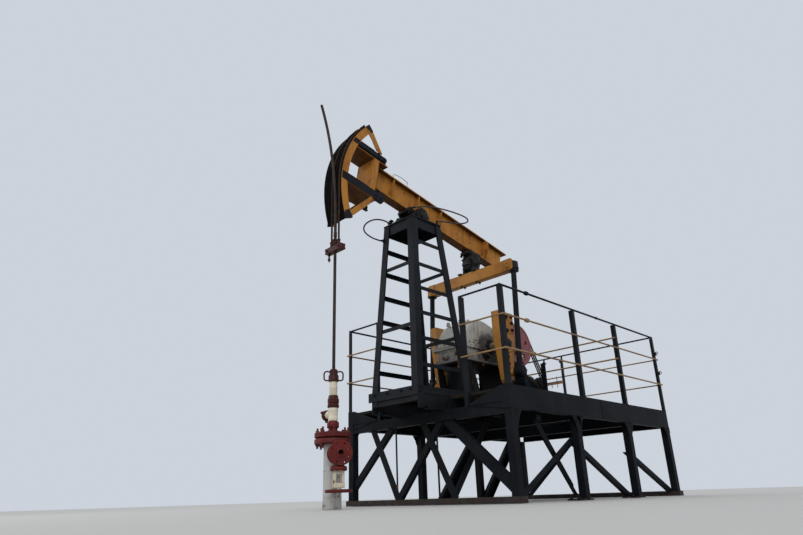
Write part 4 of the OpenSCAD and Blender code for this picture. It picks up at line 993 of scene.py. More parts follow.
k = Kit()
dome = cut_above(hull2([(SX - 0.06, SZ, 0.365), (1.40, SZ + 0.02, 0.215)]), SZ + 0.02)
casting_slab(k, dome, -0.225, 0.225, 0.035, 0.006)
k.box((0.547, -0.250, SZ + 0.001), (1.638, 0.250, SZ + 0.027), None, None, 0.005)
for s in (-1, 1):
    # half round bearing bosses with caps
    for cx, cz, r, ext in ((SX, SZ, 0.120, 0.300), (1.235, SZ + 0.005, 0.085, 0.272), (1.46, SZ + 0.01, 0.072, 0.272)):
        arc = [(r * math.cos(math.radians(a)), r * math.sin(math.radians(a))) for a in range(0, 181, 10)]
        k.plate([(cx + a, max(cz + b, SZ + 0.002)) for a, b in arc], (0, s * (0.215 + ext) / 2 + abs(ext - 0.215) / 2, 0), (1, 0, 0), (0, 0, 1), abs(ext - 0.215), 0.006)
    # ribs up the side
    for x, h in ((0.72, 0.20), (0.86, 0.26), (1.16, 0.26), (1.33, 0.20)):
        k.plate([(x - 0.008, SZ + 0.02), (x + 0.008, SZ + 0.02), (x + 0.008, SZ + h), (x - 0.008, SZ + h)], (0, s * 0.2285 + 0.010, 0), (1, 0, 0), (0, 0, 1), 0.020, 0.004)
    # bolt bosses along the joint
    for x in (0.60, 0.80, 1.155, 1.345, 1.58):
        k.lathe([(0, 0.026), (0.03, 0.024), (0.034, 0.018)], (x, s * 0.232, SZ + 0.025), (0, 0, 1), 14)
k.box((0.84, -0.115, 2.128), (1.06, 0.115, 2.152), None, None, 0.005)
k.box((0.852, -0.103, 2.150), (1.048, 0.103, 2.164), None, None, 0.004)
for x in (0.70, 1.30):
    for yy in (-0.10, 0.10):
        zt = 2.115 if x < 1 else 2.035
        k.plate([(-0.035, 0), (0.035, 0), (0.030, 0.045), (0.012, 0.062), (-0.012, 0.062), (-0.030, 0.045)], (x, yy + 0.009, zt - 0.03), (1, 0, 0), (0, 0, 1), 0.018, 0.003)
k.lathe([(0, 0.030), (0.02, 0.030), (0.024, 0.022), (0.055, 0.022), (0.058, 0.040), (0.085, 0.040), (0.097, 0.022), (0.10, 0.004)], (1.17, 0.0, 2.105), (0, 0, 1), 20)
k.done("reducer_dome", CAST, "frame", 38, ("reducer_upper",), "grey_casting")

k = Kit()
low = cut_below(hull2([(SX - 0.06, SZ - 0.01, 0.355), (1.40, SZ, 0.205), (0.61, 1.61, 0.01), (1.57, 1.61, 0.01)]), SZ - 0.02)
low = cut_above(low, 1.605)
casting_slab(k, low, -0.225, 0.225, 0.02, 0.003)
k.box((0.547, -0.250, SZ - 0.027), (1.638, 0.250, SZ - 0.001), None, None, 0.005)
k.box((0.562, -0.250, 1.6005), (1.608, 0.250, 1.626), None, None, 0.005)
for s in (-1, 1):
    for cx, cz, r, ext in ((SX, SZ, 0.120, 0.300), (1.235, SZ + 0.005, 0.085, 0.272), (1.46, SZ + 0.01, 0.072, 0.272)):
        arc = [(r * math.cos(math.radians(a)), -r * math.sin(math.radians(a))) for a in range(0, 181, 10)]
        k.plate([(cx + a, min(cz + b, SZ - 0.002)) for a, b in arc], (0, s * (0.215 + ext) / 2 + abs(ext - 0.215) / 2, 0), (1, 0, 0), (0, 0, 1), abs(ext - 0.215), 0.006)
        k.plate([(cx - 0.009, cz - r + 0.006), (cx + 0.009, cz - r + 0.006), (cx + 0.009, 1.62), (cx - 0.009, 1.62)][::-1], (0, s * 0.25 + 0.02, 0), (1, 0, 0), (0, 0, 1), 0.045, 0.003)
    for x in (0.66, 0.80, 1.35, 1.55):
        k.plate([(x - 0.008, 1.62), (x + 0.008, 1.62), (x + 0.008, SZ - 0.02), (x - 0.008, SZ - 0.02)], (0, s * 0.2285 + 0.012, 0), (1, 0, 0), (0, 0, 1), 0.024, 0.003)
k.lathe([(0, 0.034), (0.018, 0.034), (0.020, 0.024), (0.035, 0.022)], (0.585, 0.08, 1.66), (-1, 0, 0), 18)
k.done("reducer_case", CAST, "frame", 38, ("reducer_lower",), "grey_casting")

k = Kit()
xs = [0.575, 0.68, 0.76, 0.885, 1.135, 1.18, 1.29, 1.38, 1.545, 1.61]
for s in (-1, 1):
    for x in xs:
        k.bolt((x, s * 0.2385, SZ + 0.027), (0, 0, 1), 0.013, True, 0.9)
        k.bolt((x, s * 0.2385, SZ - 0.027), (0, 0, -1), 0.013, True, 0.6)
    for x in (0.60, 0.80, 1.155, 1.345, 1.58):
        k.bolt((x, s * 0.232, SZ + 0.059), (0, 0, 1), 0.018, True, 0.6)
    for x in (0.60, 0.92, 1.25, 1.57):
        k.bolt((x, s * 0.237, 1.626), (0, 0, 1), 0.018, True, 0.7)
        k.bolt((x, s * 0.232, 1.586), (0, 0, -1), 0.018, True, 0.6)
    for cx, cz, r, ext, nb in ((SX, SZ, 0.098, 0.300, 8), (1.235, SZ + 0.005, 0.066, 0.272, 6), (1.46, SZ + 0.01, 0.056, 0.272, 6)):
        for i in range(nb):
            t = 2 * math.pi * (i + 0.5) / nb
            k.bolt((cx + r * math.cos(t), s * ext, cz + r * math.sin(t)), (0, s, 0), 0.011, True, 0.1)
for yy in (-0.20, -0.07, 0.07, 0.20):
    for x, d in ((0.565, -1), (1.62, 1)):
        k.bolt((x - 0.0 * d, yy, SZ + 0.027), (0, 0, 1), 0.013, True, 0.9)
for x in (0.865, 0.95, 1.035):
    for yy in (-0.088, 0.088):
        k.bolt((x, yy, 2.164), (0, 0, 1), 0.010, True, 0.2)
k.bolt((0.550, 0.08, 1.66), (-1, 0, 0), 0.024, False, 0)
# oil glass and drain pipe at the front end
k.lathe([(0, 0.028), (0.012, 0.028), (0.016, 0.020), (0.02, 0.018)], (0.588, -0.10, 1.70), (-1, 0, 0), 18)
k.tube([(0.60, -0.16, 1.64), (0.56, -0.16, 1.64), (0.545, -0.16, 1.63), (0.54, -0.16, 1.60), (0.54, -0.16, 1.52)], 0.011, 10)
k.hexa((0.54, -0.16, 1.50), (0, 0, 1), 0.030, 0.022)
k.done("reducer_bolts", RUSTY, "frame", 35)

# shaft retainers and crank clamps
k = Kit()
for s in (-1, 1):
    k.lathe([(0, 0.0595), (0.006, 0.0595), (0.012, 0.052), (0.02, 0.012)], (SX, s * 0.5745, SZ), (0, s, 0), 32)
    for i in range(3):
        t = math.radians(120 * i + 40)
        k.bolt((SX + 0.034 * math.cos(t), s * 0.584, SZ + 0.034 * math.sin(t)), (0, s, 0), 0.013, True, 0.1)
    k.lathe([(0, 0.070), (0.006, 0.086), (0.022, 0.086), (0.028, 0.070)], (SX, s * 0.304, SZ), (0, s, 0), 32)
k.done("shaft_rings", GREASE, "crank", 35)

# ---- crank details ----------------------------------------------------------
k = Kit()
for s in (-1, 1):
    yo = s * 0.560
    for cz in (1.430, 1.535, 1.620):
        rr = 0.046 if cz > 1.5 else 0.058
        if cz > 1.5:
            k.lathe([(-0.001, 0.027), (0.005, 0.027), (0.007, 0.040), (0.002, rr), (-0.001, rr)], (SX, yo, cz), (0, s, 0), 28, closed=True)
    k.lathe([(-0.001, 0.066), (0.010, 0.066), (0.014, 0.085), (0.014, 0.100), (0.004, 0.112), (-0.001, 0.112)], (SX, yo, SZ), (0, s, 0), 40, closed=True)
    # bolted counterweight plates
    for f in (-1, 1):
        k.plate([(f * 0.055, SZ + 0.135), (f * 0.142, SZ + 0.15), (f * 0.142, SZ + 0.385), (f * 0.055, SZ + 0.385)][::f], (SX, yo + 0.011, 0), (1, 0, 0), (0, 0, 1), 0.022, 0.005)
    k.weld((SX - 0.03, yo + s * 0.002, SZ + 0.13), (SX - 0.03, yo + s * 0.002, SZ + 0.38), 0.004, s)
k.done("crank_bosses", OCHRE, "crank", 40)
k = Kit()
for s in (-1, 1):
    yo = s * 0.571
    for f in (-1, 1):
        for dz in (0.18, 0.27, 0.35):
            k.bolt((SX + f * 0.098, yo, SZ + dz), (0, s, 0), 0.022, True, 0.4)
    k.bolt((SX + 0.028, s * 0.560, SZ - 0.455), (0, s, 0), 0.016, True, 0.3)
    for i in range(2):
        k.bolt((SX, s * 0.560, SZ + 0.165 + 0.17 * i), (0, s, 0), 0.026, True, 0.4)
k.done("crank_bolts", BLACK2, "crank", 35)

# ---- belt drive -------------------------------------------------------------
PX, PZ, MX, MZ = 1.460, 1.870, 1.930, 1.425
GY = [-0.402, -0.376, -0.350]
k = Kit()
prof = [(0.0, 0.236), (0.0, 0.266), (0.003, 0.270)]
for g in (0.018, 0.044, 0.070):
    prof += [(g - 0.010, 0.270), (g - 0.006, 0.258), (g + 0.006, 0.258), (g + 0.010, 0.270)]
prof += [(0.087, 0.270), (0.090, 0.266), (0.090, 0.246), (0.078, 0.242), (0.040, 0.240), (0.034, 0.234), (0.034, 0.228), (0.004, 0.228)]
k.lathe(prof, (PX, -0.420, PZ), (0, 1, 0), 96, closed=True)
k.lathe([(0, 0.029), (0, 0.056), (0.004, 0.060), (0.086, 0.060), (0.090, 0.056), (0.090, 0.029)], (PX, -0.420, PZ), (0, 1, 0), 40, closed=True)
k.box((PX - 0.006, -0.424, PZ + 0.029), (PX + 0.006, -0.34, PZ + 0.038), None, None, 0.001)
k.done("pulley_rim", PULLEY, "frame", 35, ("reducer_pulley",), "red_casting")
cu = bpy.data.curves.new("pulley_web", "CURVE")
cu.dimensions = "2D"
cu.fill_mode = "BOTH"
cu.extrude = 0.012
cu.bevel_depth = 0.003
cu.bevel_resolution = 2


def spline(pts):
    sp = cu.splines.new("POLY")
    sp.points.add(len(pts) - 1)
    for q, p in zip(sp.points, pts):
        q.co = (p[0], p[1], 0, 1)
    sp.use_cyclic_u = True


spline([(0.235 * math.cos(2 * math.pi * i / 96), 0.235 * math.sin(2 * math.pi * i / 96)) for i in range(96)])
spline([(0.055 * math.cos(2 * math.pi * i / 40), 0.055 * math.sin(2 * math.pi * i / 40)) for i in range(40)])
for h in range(5):
    c = math.radians(72 * h + 14)
    spline([(0.165 * math.cos(c) + 0.034 * math.cos(2 * math.pi * i / 32), 0.165 * math.sin(c) + 0.034 * math.sin(2 * math.pi * i / 32)) for i in range(32)])
ob = bpy.data.objects.new("pulley_web", cu)
bpy.context.collection.objects.link(ob)
bpy.context.view_layer.update()
me = bpy.data.meshes.new_from_object(ob.evaluated_get(bpy.context.evaluated_depsgraph_get()))
bpy.data.objects.remove(ob)
ob = bpy.data.objects.new("pulley_web", me)
bpy.context.collection.objects.link(ob)
ob.rotation_euler = (math.pi / 2, 0, 0)
ob.location = (PX, -0.401, PZ)
me.materials.clear()
me.materials.append(PULLEY)
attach(ob, "frame")

k = Kit()
for y in GY:
    r1, r2 = 0.272, 0.087
    d = V((MX - PX, 0, MZ - PZ))
    base = math.atan2(d.z, d.x)
    off = math.acos((r1 - r2) / d.length)
    path = []
    for i in range(49):
        a = base + off + (2 * math.pi - 2 * off) * i / 48
        path.append((V((PX + r1 * math.cos(a), y, PZ + r1 * math.sin(a))), V((math.cos(a), 0, math.sin(a)))))
    for i in range(25):
        a = base - off + 2 * off * i / 24
        path.append((V((MX + r2 * math.cos(a), y, MZ + r2 * math.sin(a))), V((math.cos(a), 0, math.sin(a)))))
    rings = []
    for p, n in path:
        rings.append([p + n * h + V((0, w, 0)) for w, h in ((-0.0085, 0.006), (-0.0075, 0.0075), (0.0075, 0.0075), (0.0085, 0.006), (0.006, -0.006), (-0.006, -0.006))])
    k.loops(rings, closed=True)
k.done("v_belts", RUBBER, "frame", 35, ("drive_belts",), "hose_rubber")
k = Kit()
prof = [(0.0, 0.021), (0.0, 0.079), (0.003, 0.084)]
for g in (0.018, 0.044, 0.070):
    prof += [(g - 0.010, 0.085), (g - 0.006, 0.073), (g + 0.006, 0.073), (g + 0.010, 0.085)]
prof += [(0.087, 0.084), (0.090, 0.079), (0.090, 0.05), (0.075, 0.045), (0.075, 0.021)]
k.lathe(prof, (MX, -0.420, MZ), (0, 1, 0), 64, closed=True)
k.done("small_pulley", GREASE, "frame", 35, ("motor_pulley",), "red_casting")

# upright angle beside the motor's pulley, with two lugs on top
k = Kit()
k.plate([(-0.050, 0.0), (0.050, 0.0), (0.050, 0.535), (0.040, 0.545), (-0.040, 0.545), (-0.050, 0.535)], (1.890, -0.462, 1.108), (1, 0, 0), (0, 0, 1), 0.008, 0.0015)
k.box((1.840, -0.528, 1.108), (1.848, -0.4695, 1.640), None, None, 0.0015)
k.box((1.820, -0.550, 1.1005), (1.960, -0.440, 1.110), None, None, 0.002)
k.box((1.846, -0.478, 1.645), (1.872, -0.456, 1.668), None, None, 0.002)
k.box((1.902, -0.478, 1.645), (1.936, -0.456, 1.690), None, None, 0.002)
k.cyl((1.919, -0.500, 1.672), (1.919, -0.436, 1.672), 0.007, 14)
k.hexa((1.919, -0.478, 1.672), (0, -1, 0), 0.022, 0.012)
for dz in (0.10, 0.43):
    k.bolt((1.905, -0.470, 1.108 + dz), (0, -1, 0), 0.016, True, 0.2)
for q in ((1.930, -0.520), (1.930, -0.456), (1.868, -0.535)):
    k.bolt((q[0], q[1], 1.110), (0, 0, 1), 0.013, True, 0.6)
k.weld((1.850, -0.471, 1.110), (1.936, -0.471, 1.110), 0.004, 3)
k.weld((1.844, -0.526, 1.110), (1.844, -0.474, 1.110), 0.004, 5)
k.done("pulley_upright", BLACK2, "frame", 35)

# ---- motor ------------------------------------------------------------------
k = Kit()
k.lathe([(0, 0.02), (0.0, 0.118), (0.006, 0.124), (0.03, 0.124), (0.032, 0.114), (0.395, 0.114), (0.397, 0.124), (0.425, 0.124), (0.43, 0.118), (0.43, 0.02)], (MX, -0.240, MZ), (0, 1, 0), 64, closed=True)
for i in range(44):
    a = 2 * math.pi * i / 44
    if abs(math.degrees(a) - 90) < 22 or 240 < math.degrees(a) < 300:
        continue
    m = Matrix.Rotation(-a, 3, "Y")
    k.box((0.112, -0.205, -0.0018), (0.1275, 0.155, 0.0018), m, (MX, 0, MZ))
# end bells, fan cover with rings, shaft
k.lathe([(0, 0.108), (-0.012, 0.106), (-0.030, 0.080), (-0.036, 0.050), (-0.040, 0.034), (-0.040, 0.022)], (MX, -0.238, MZ), (0, 1, 0), 48)
k.lathe([(0, 0.120), (0.002, 0.123), (0.045, 0.121), (0.052, 0.112), (0.056, 0.095), (0.054, 0.02)], (MX, 0.190, MZ), (0, 1, 0), 48)
for r in (0.035, 0.055, 0.075, 0.093):
    k.lathe([(0.053, r - 0.004), (0.0585, r - 0.003), (0.0585, r + 0.003), (0.053, r + 0.004)], (MX, 0.190, MZ), (0, 1, 0), 40, closed=True)
k.cyl((MX, -0.420, MZ), (MX, -0.270, MZ), 0.0185, 20)
for yy in (-0.200, 0.090):
    for s in (-1, 1):
        k.box((MX + s * 0.095 - 0.032, yy, MZ - 0.160), (MX + s * 0.095 + 0.032, yy + 0.07, MZ - 0.140), None, None, 0.004)
        k.plate([(s * 0.055, -0.145), (s * 0.12, -0.145), (s * 0.108, -0.055), (s * 0.075, -0.075)][::s], (MX, yy + 0.05, MZ), (1, 0, 0), (0, 0, 1), 0.03, 0.003)
k.box((MX - 0.070, -0.100, MZ + 0.105), (MX + 0.070, 0.060, MZ + 0.186), None, None, 0.008)
k.box((MX - 0.075, -0.105, MZ + 0.1865), (MX + 0.075, 0.065, MZ + 0.204), None, None, 0.005)
k.lathe([(0, 0.016), (0.02, 0.016), (0.022, 0.020), (0.035, 0.020), (0.036, 0.009), (0.05, 0.008)], (MX + 0.062, -0.02, MZ + 0.127), (1, 0, 0), 16)
ang = [math.radians(a) for a in range(-20, 201, 20)]
k.tube([(MX + 0.022 * math.cos(a), 0.100, MZ + 0.150 + 0.022 * math.sin(a)) for a in ang], 0.006, 8)
k.cyl((MX, 0.100, MZ + 0.110), (MX, 0.100, MZ + 0.130), 0.014, 12)
k.done("motor_body", MOTORC, "frame", 35, ("motor",), "motor_paint")
k = Kit()
for s in (-1, 1):
    for yy in (-0.165, 0.125):
        k.bolt((MX + s * 0.105, yy, MZ - 0.140), (0, 0, 1), 0.014, True, 0.9)
    for yy in (-0.082, 0.042):
        k.bolt((MX + s * 0.060, yy, MZ + 0.204), (0, 0, 1), 0.006, False, 0)
for i in range(6):
    t = math.radians(60 * i + 30)
    k.bolt((MX + 0.096 * math.cos(t), -0.250, MZ + 0.096 * math.sin(t)), (0, -1, 0), 0.008, True, 0.1)
for x in (MX - 0.18, MX + 0.18):
    for yy in (-0.165, 0.125):
        k.bolt((x, yy, MZ - 0.160), (0, 0, 1), 0.016, True, 0.9)
# belt tension screws at the rail ends
for yy in (-0.165, 0.125):
    k.cyl((MX + 0.13, yy, MZ - 0.148), (MX + 0.30, yy, MZ - 0.148), 0.008, 10)
    k.hexa((MX + 0.30, yy, MZ - 0.148), (1, 0, 0), 0.026, 0.016)
    k.box((MX + 0.245, yy - 0.02, MZ - 0.160), (MX + 0.257, yy + 0.02, MZ - 0.128), None, None, 0.002)
k.done("motor_bolts", BLACK2, "frame", 35)


# ---- wellhead ---------------------------------------------------------------
WX, WY = -1.281, -0.078
AZ = math.radians(246)
DV = V((math.cos(AZ), math.sin(AZ), 0))
DT = V((-math.sin(AZ), math.cos(AZ), 0))


def wp(x, y, z):
    """A point in the wellhead's frame turned to the side valve."""
    return V((WX, WY, 0)) + DV * x + DT * y + V((0, 0, z))


UP = (0, 0, 1)
k = Kit()
k.lathe([(0, 0.070), (0, 0.086), (0.004, 0.087), (0.05, 0.0855), (0.30, 0.084), (0.52, 0.084), (0.535, 0.088), (0.548, 0.089), (0.556, 0.087), (0.566, 0.084), (0.566, 0.070)], (WX, WY, 0), UP, 64, wob=0.0012, closed=True)
for z in (0.10, 0.33):
    k.tube([(WX + 0.0845 * math.cos(2 * math.pi * i / 48), WY + 0.0845 * math.sin(2 * math.pi * i / 48), z) for i in range(48)], [0.003 + 0.0012 * math.sin(i * 2.3) for i in range(48)], 6, closed=True)
for a, z0, z1 in ((2.2, 0.02, 0.20), (4.0, 0.05, 0.09)):
    k.weld((WX + 0.084 * math.cos(a), WY + 0.084 * math.sin(a), z0), (WX + 0.084 * math.cos(a), WY + 0.084 * math.sin(a), z1), 0.004, a)
k.done("casing_pipe", CASINGP, "frame", 40, ("casing",), "cream_paint")
k = Kit()
k.lathe([(0.0, 0.030), (0.0, 0.168), (0.004, 0.173), (0.040, 0.173), (0.0455, 0.169), (0.0455, 0.118), (0.0585, 0.118), (0.0585, 0.169), (0.063, 0.173),
         (0.099, 0.173), (0.104, 0.168), (0.106, 0.110), (0.112, 0.080), (0.118, 0.072), (0.120, 0.060), (0.128, 0.043), (0.21, 0.042), (0.213, 0.042), (0.213, 0.030)], (WX, WY, 0.5675), UP, 72, closed=True)
k.lathe([(0, 0.044), (0, 0.054), (0.004, 0.057), (0.052, 0.057), (0.056, 0.054), (0.056, 0.044)], (WX, WY, 0.715), UP, 8, closed=True)
k.done("wellhead_flanges", MAROON, "frame", 38, ("casing_flanges",), "maroon_paint")
k = Kit()
for i in range(8):
    t = math.radians(45 * i + 12)
    x, y = WX + 0.145 * math.cos(t), WY + 0.145 * math.sin(t)
    k.cyl((x, y, 0.528), (x, y, 0.712 + 0.008 * (i % 3)), 0.0098, 10)
    k.hexa((x, y, 0.6715), UP, 0.032, 0.019)
    k.hexa((x, y, 0.5675), (0, 0, -1), 0.032, 0.019)
k.done("wellhead_studs", MAROON, "frame", 35)
k = Kit()
k.lathe([(0, 0.030), (0, 0.044), (0.006, 0.046), (0.030, 0.046), (0.036, 0.0435), (0.050, 0.0435), (0.085, 0.0435), (0.09, 0.046), (0.118, 0.046), (0.124, 0.044), (0.124, 0.030)], (WX, WY, 0.781), UP, 40, closed=True)
k.lathe([(0.030, 0.034), (0.050, 0.034), (0.055, 0.038), (0.076, 0.038), (0.080, 0.033), (0.094, 0.031)], (WX, WY, 0.843), (0, 1, 0), 32)
k.done("tee_body", CREAM, "frame", 38, ("tubing_tee",), "cream_paint")
k = Kit()
k.lathe([(0.091, 0.026), (0.091, 0.046), (0.095, 0.050), (0.118, 0.050), (0.122, 0.046), (0.132, 0.040), (0.132, 0.026)], (WX, WY, 0.843), (0, 1, 0), 36, closed=True)
for i in range(3):
    t = math.radians(120 * i + 35)
    x, y = V((1, 0, 0)), V((0, 0, 1))
    c = V((WX, WY + 0.107, 0.843))
    d = x * math.cos(t) + y * math.sin(t)
    k.box((0.040, -0.011, -0.012), (0.068, 0.011, 0.012), Matrix((d, V((0, 1, 0)).cross(d), V((0, 1, 0)))).transposed(), c, 0.004)
k.done("hammer_union", MAROON2, "frame", 38)
# stuffing box: maroon base, pale neck, gland cap with two loop handles
k = Kit()
k.lathe([(0, 0.030), (0, 0.052), (0.004, 0.055), (0.030, 0.055), (0.036, 0.050), (0.040, 0.050), (0.046, 0.055), (0.080, 0.055), (0.086, 0.050), (0.114, 0.046), (0.117, 0.040), (0.117, 0.030)], (WX, WY, 0.905), UP, 44, closed=True)
k.lathe([(0, 0.038), (0, 0.047), (0.003, 0.050), (0.024, 0.051), (0.027, 0.049), (0.056, 0.050), (0.062, 0.046), (0.064, 0.041), (0.110, 0.040), (0.117, 0.034), (0.117, 0.018), (0.100, 0.0175), (0.05, 0.0175), (0.02, 0.030)], (WX, WY, 1.156), UP, 44, closed=True)
k.lathe([(0, 0.0175), (0, 0.029), (0.006, 0.031), (0.016, 0.029), (0.018, 0.0175)], (WX, WY, 1.262), UP, 24, closed=True)
for s in (-1, 1):
    pts = [(s * 0.036, 1.250), (s * 0.060, 1.256), (s * 0.082, 1.252), (s * 0.092, 1.236), (s * 0.093, 1.206), (s * 0.090, 1.176), (s * 0.074, 1.166), (s * 0.045, 1.168)]
    dd = V((math.cos(math.radians(-35)), math.sin(math.radians(-35)), 0))
    k.tube([V((WX, WY, z)) + dd * x for x, z in pts], 0.0075, 10)
for i in range(2):
    t = math.radians(55 + 180 * i)
    k.cyl((WX + 0.030 * math.cos(t), WY + 0.030 * math.sin(t), 1.262), (WX + 0.030 * math.cos(t), WY + 0.030 * math.sin(t), 1.292), 0.005, 8)
    k.hexa((WX + 0.030 * math.cos(t), WY + 0.030 * math.sin(t), 1.276), UP, 0.014, 0.008)
k.done("stuffing_box_body", MAROON2, "frame", 38, ("stuffing_box",), "maroon_paint")
k = Kit()
k.lathe([(0, 0.030), (0, 0.036), (0.004, 0.038), (0.060, 0.0378), (0.066, 0.040), (0.074, 0.040), (0.080, 0.0378), (0.131, 0.038), (0.134, 0.036), (0.134, 0.030)], (WX, WY, 1.022), UP, 36, closed=True)
k.done("stuffing_box_neck", CREAM, "frame", 38)

# side valve: flanges with see-through bore, body, bonnet, pale yoke
k = Kit()
k.lathe([(0.083, 0.024), (0.083, 0.040), (0.092, 0.036), (0.150, 0.033), (0.153, 0.033), (0.153, 0.024)], wp(0, 0, 0.471), DV, 36, closed=True)
k.lathe([(0, 0.024), (0, 0.090), (0.003, 0.0935), (0.018, 0.0935), (0.021, 0.090), (0.021, 0.024)], wp(0.150, 0, 0.471), DV, 48, closed=True)
k.lathe([(0, 0.024), (0, 0.058), (0.012, 0.056), (0.030, 0.066), (0.054, 0.070), (0.078, 0.066), (0.096, 0.056), (0.109, 0.058), (0.109, 0.024)], wp(0.1715, 0, 0.471), DV, 44, closed=True)
k.lathe([(0, 0.060), (0.03, 0.056), (0.07, 0.048), (0.108, 0.054), (0.114, 0.074), (0.120, 0.0765), (0.136, 0.0765), (0.141, 0.072)], wp(0.225, 0, 0.465), (0, 0, -1), 36)
k.done("valve_body", MAROON, "frame", 38, ("side_valve",), "maroon_paint")
cu = bpy.data.curves.new("valve_flange", "CURVE")
cu.dimensions = "2D"
cu.fill_mode = "BOTH"
cu.extrude = 0.0075
cu.bevel_depth = 0.003
cu.bevel_resolution = 2
spline([(0.107 * math.cos(2 * math.pi * i / 64), 0.107 * math.sin(2 * math.pi * i / 64)) for i in range(64)])
spline([(0.0285 * math.cos(2 * math.pi * i / 32), 0.0285 * math.sin(2 * math.pi * i / 32)) for i in range(32)])
for h in range(8):
    a = math.radians(45 * h + 22)
    spline([(0.085 * math.cos(a) + 0.0115 * math.cos(2 * math.pi * i / 16), 0.085 * math.sin(a) + 0.0115 * math.sin(2 * math.pi * i / 16)) for i in range(16)])
ob = bpy.data.objects.new("valve_flange", cu)
bpy.context.collection.objects.link(ob)
bpy.context.view_layer.update()
me = bpy.data.meshes.new_from_object(ob.evaluated_get(bpy.context.evaluated_depsgraph_get()))
bpy.data.objects.remove(ob)
ob = bpy.data.objects.new("valve_flange", me)
bpy.context.collection.objects.link(ob)
ob.matrix_world = Matrix.Translation(wp(0.2915, 0, 0.471)) @ Matrix((DT, V((0, 0, 1)), DV)).transposed().to_4x4()
me.materials.clear()
me.materials.append(MAROON)
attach(ob, "frame")
k = Kit()
k.lathe([(0.302, 0.0255), (0.302, 0.044), (0.305, 0.046), (0.3065, 0.044), (0.3065, 0.0255)], wp(0, 0, 0.471), DV, 40, closed=True)
for h in range(8):
    t = math.radians(45 * h + 10)
    o = wp(0.150, 0.075 * math.cos(t), 0.471 + 0.075 * math.sin(t))
    k.bolt(o, -DV, 0.012, True, 0.6)
    k.bolt(o + DV * 0.021, DV, 0.012, True, 0.3)
for h in range(6):
    t = math.radians(60 * h + 30)
    o = wp(0.225 + 0.062 * math.cos(t), 0.062 * math.sin(t), 0.349)
    k.hexa(o, UP, 0.020, 0.012)
    k.hexa(o - V((0, 0, 0.019)), (0, 0, -1), 0.020, 0.012)
k.done("valve_bolts", MAROON, "frame", 38)
k = Kit()
for s in (-1, 1):
    k.box((0.225 - 0.021, s * 0.0385 - 0.0125, 0.196), (0.225 + 0.021, s * 0.0385 + 0.0125, 0.328), Matrix((DV, DT, V((0, 0, 1)))).transposed(), (WX, WY, 0), 0.005)
k.box((0.225 - 0.022, -0.051, 0.292), (0.225 + 0.022, 0.051, 0.328), Matrix((DV, DT, V((0, 0, 1)))).transposed(), (WX, WY, 0), 0.006)
k.box((0.225 - 0.024, -0.053, 0.176), (0.225 + 0.024, 0.053, 0.220), Matrix((DV, DT, V((0, 0, 1)))).transposed(), (WX, WY, 0), 0.006)
k.lathe([(0, 0.020), (0.012, 0.022), (0.03, 0.018), (0.034, 0.011)], wp(0.225, 0, 0.176), (0, 0, -1), 24)
k.lathe([(0, 0.028), (0.010, 0.028), (0.016, 0.018), (0.03, 0.016), (0.032, 0.010)], wp(0.225, 0, 0.300), UP, 24)
k.done("valve_yoke", CREAM, "frame", 38)
k = Kit()
c = wp(0.225, 0, 0.151)
k.lathe([(-0.012, 0.104), (-0.014, 0.110), (-0.012, 0.1175), (-0.006, 0.1215), (0.006, 0.1215), (0.012, 0.1175), (0.014, 0.110), (0.012, 0.104), (0.005, 0.1005), (-0.005, 0.1005)], c, UP, 72, wob=0.0006, closed=True)
for i in range(4):
    a = math.radians(90 * i + 20)
    d = DV * math.cos(a) + DT * math.sin(a)
    k.tube([c + d * 0.012, c + d * 0.045 - V((0, 0, 0.006)), c + d * 0.080 - V((0, 0, 0.006)), c + d * 0.109], [0.008, 0.0065, 0.006, 0.007], 10)
k.lathe([(-0.013, 0.010), (-0.013, 0.018), (-0.009, 0.021), (0.011, 0.021), (0.015, 0.016), (0.015, 0.010)], c, UP, 24, closed=True)
k.done("valve_wheel_rim", MAROON, "valve_wheel", 40, ("valve_handwheel",), "maroon_paint")
k = Kit()
k.cyl(c - V((0, 0, 0.086)), c - V((0, 0, 0.012)), 0.0085, 16)
k.cyl(c + V((0, 0, 0.012)), c + V((0, 0, 0.148)), 0.0085, 16)
k.hexa(c - V((0, 0, 0.013)), (0, 0, -1), 0.026, 0.012)
for i in range(10):
    k.lathe([(0, 0.0088), (0.001, 0.0098), (0.002, 0.0088)], c - V((0, 0, 0.084 - 0.005 * i)), UP, 12)
k.done("valve_stem", STEEL, "valve_wheel", 40)

# ---- rod, carrier bar -------------------------------------------------------
k = Kit()
for s in (-1, 1):
    x0 = s * 0.030
    k.box((WX + x0 - 0.004, WY - 0.128, 2.534), (WX + x0 + 0.004, WY + 0.128, 2.586), None, None, 0.002)
k.box((WX - 0.036, WY - 0.132, 2.582), (WX + 0.036, WY + 0.132, 2.590), None, None, 0.002)
k.box((WX - 0.036, WY - 0.132, 2.530), (WX + 0.036, WY + 0.132, 2.538), None, None, 0.002)
for s in (-1, 1):
    k.box((WX - 0.030, WY + s * 0.127 - 0.003, 2.534), (WX + 0.030, WY + s * 0.127 + 0.003, 2.586), None, None, 0.002)
    for f in (-1, 1):
        k.bolt((WX + f * 0.034, WY + s * 0.100, 2.560), (f, 0, 0), 0.014, True, 0.7)
    k.lathe([(0, 0.021), (0.004, 0.024), (0.012, 0.024), (0.016, 0.017), (0.050, 0.016), (0.054, 0.020), (0.068, 0.020), (0.072, 0.0115)], (WX, WY + s * 0.06, 2.590), UP, 20)
k.lathe([(0, 0.0165), (0, 0.029), (0.004, 0.031), (0.020, 0.031), (0.024, 0.026), (0.040, 0.026), (0.044, 0.031), (0.074, 0.031), (0.078, 0.028), (0.078, 0.0165)], (WX, WY, 2.590), UP, 24, closed=True)
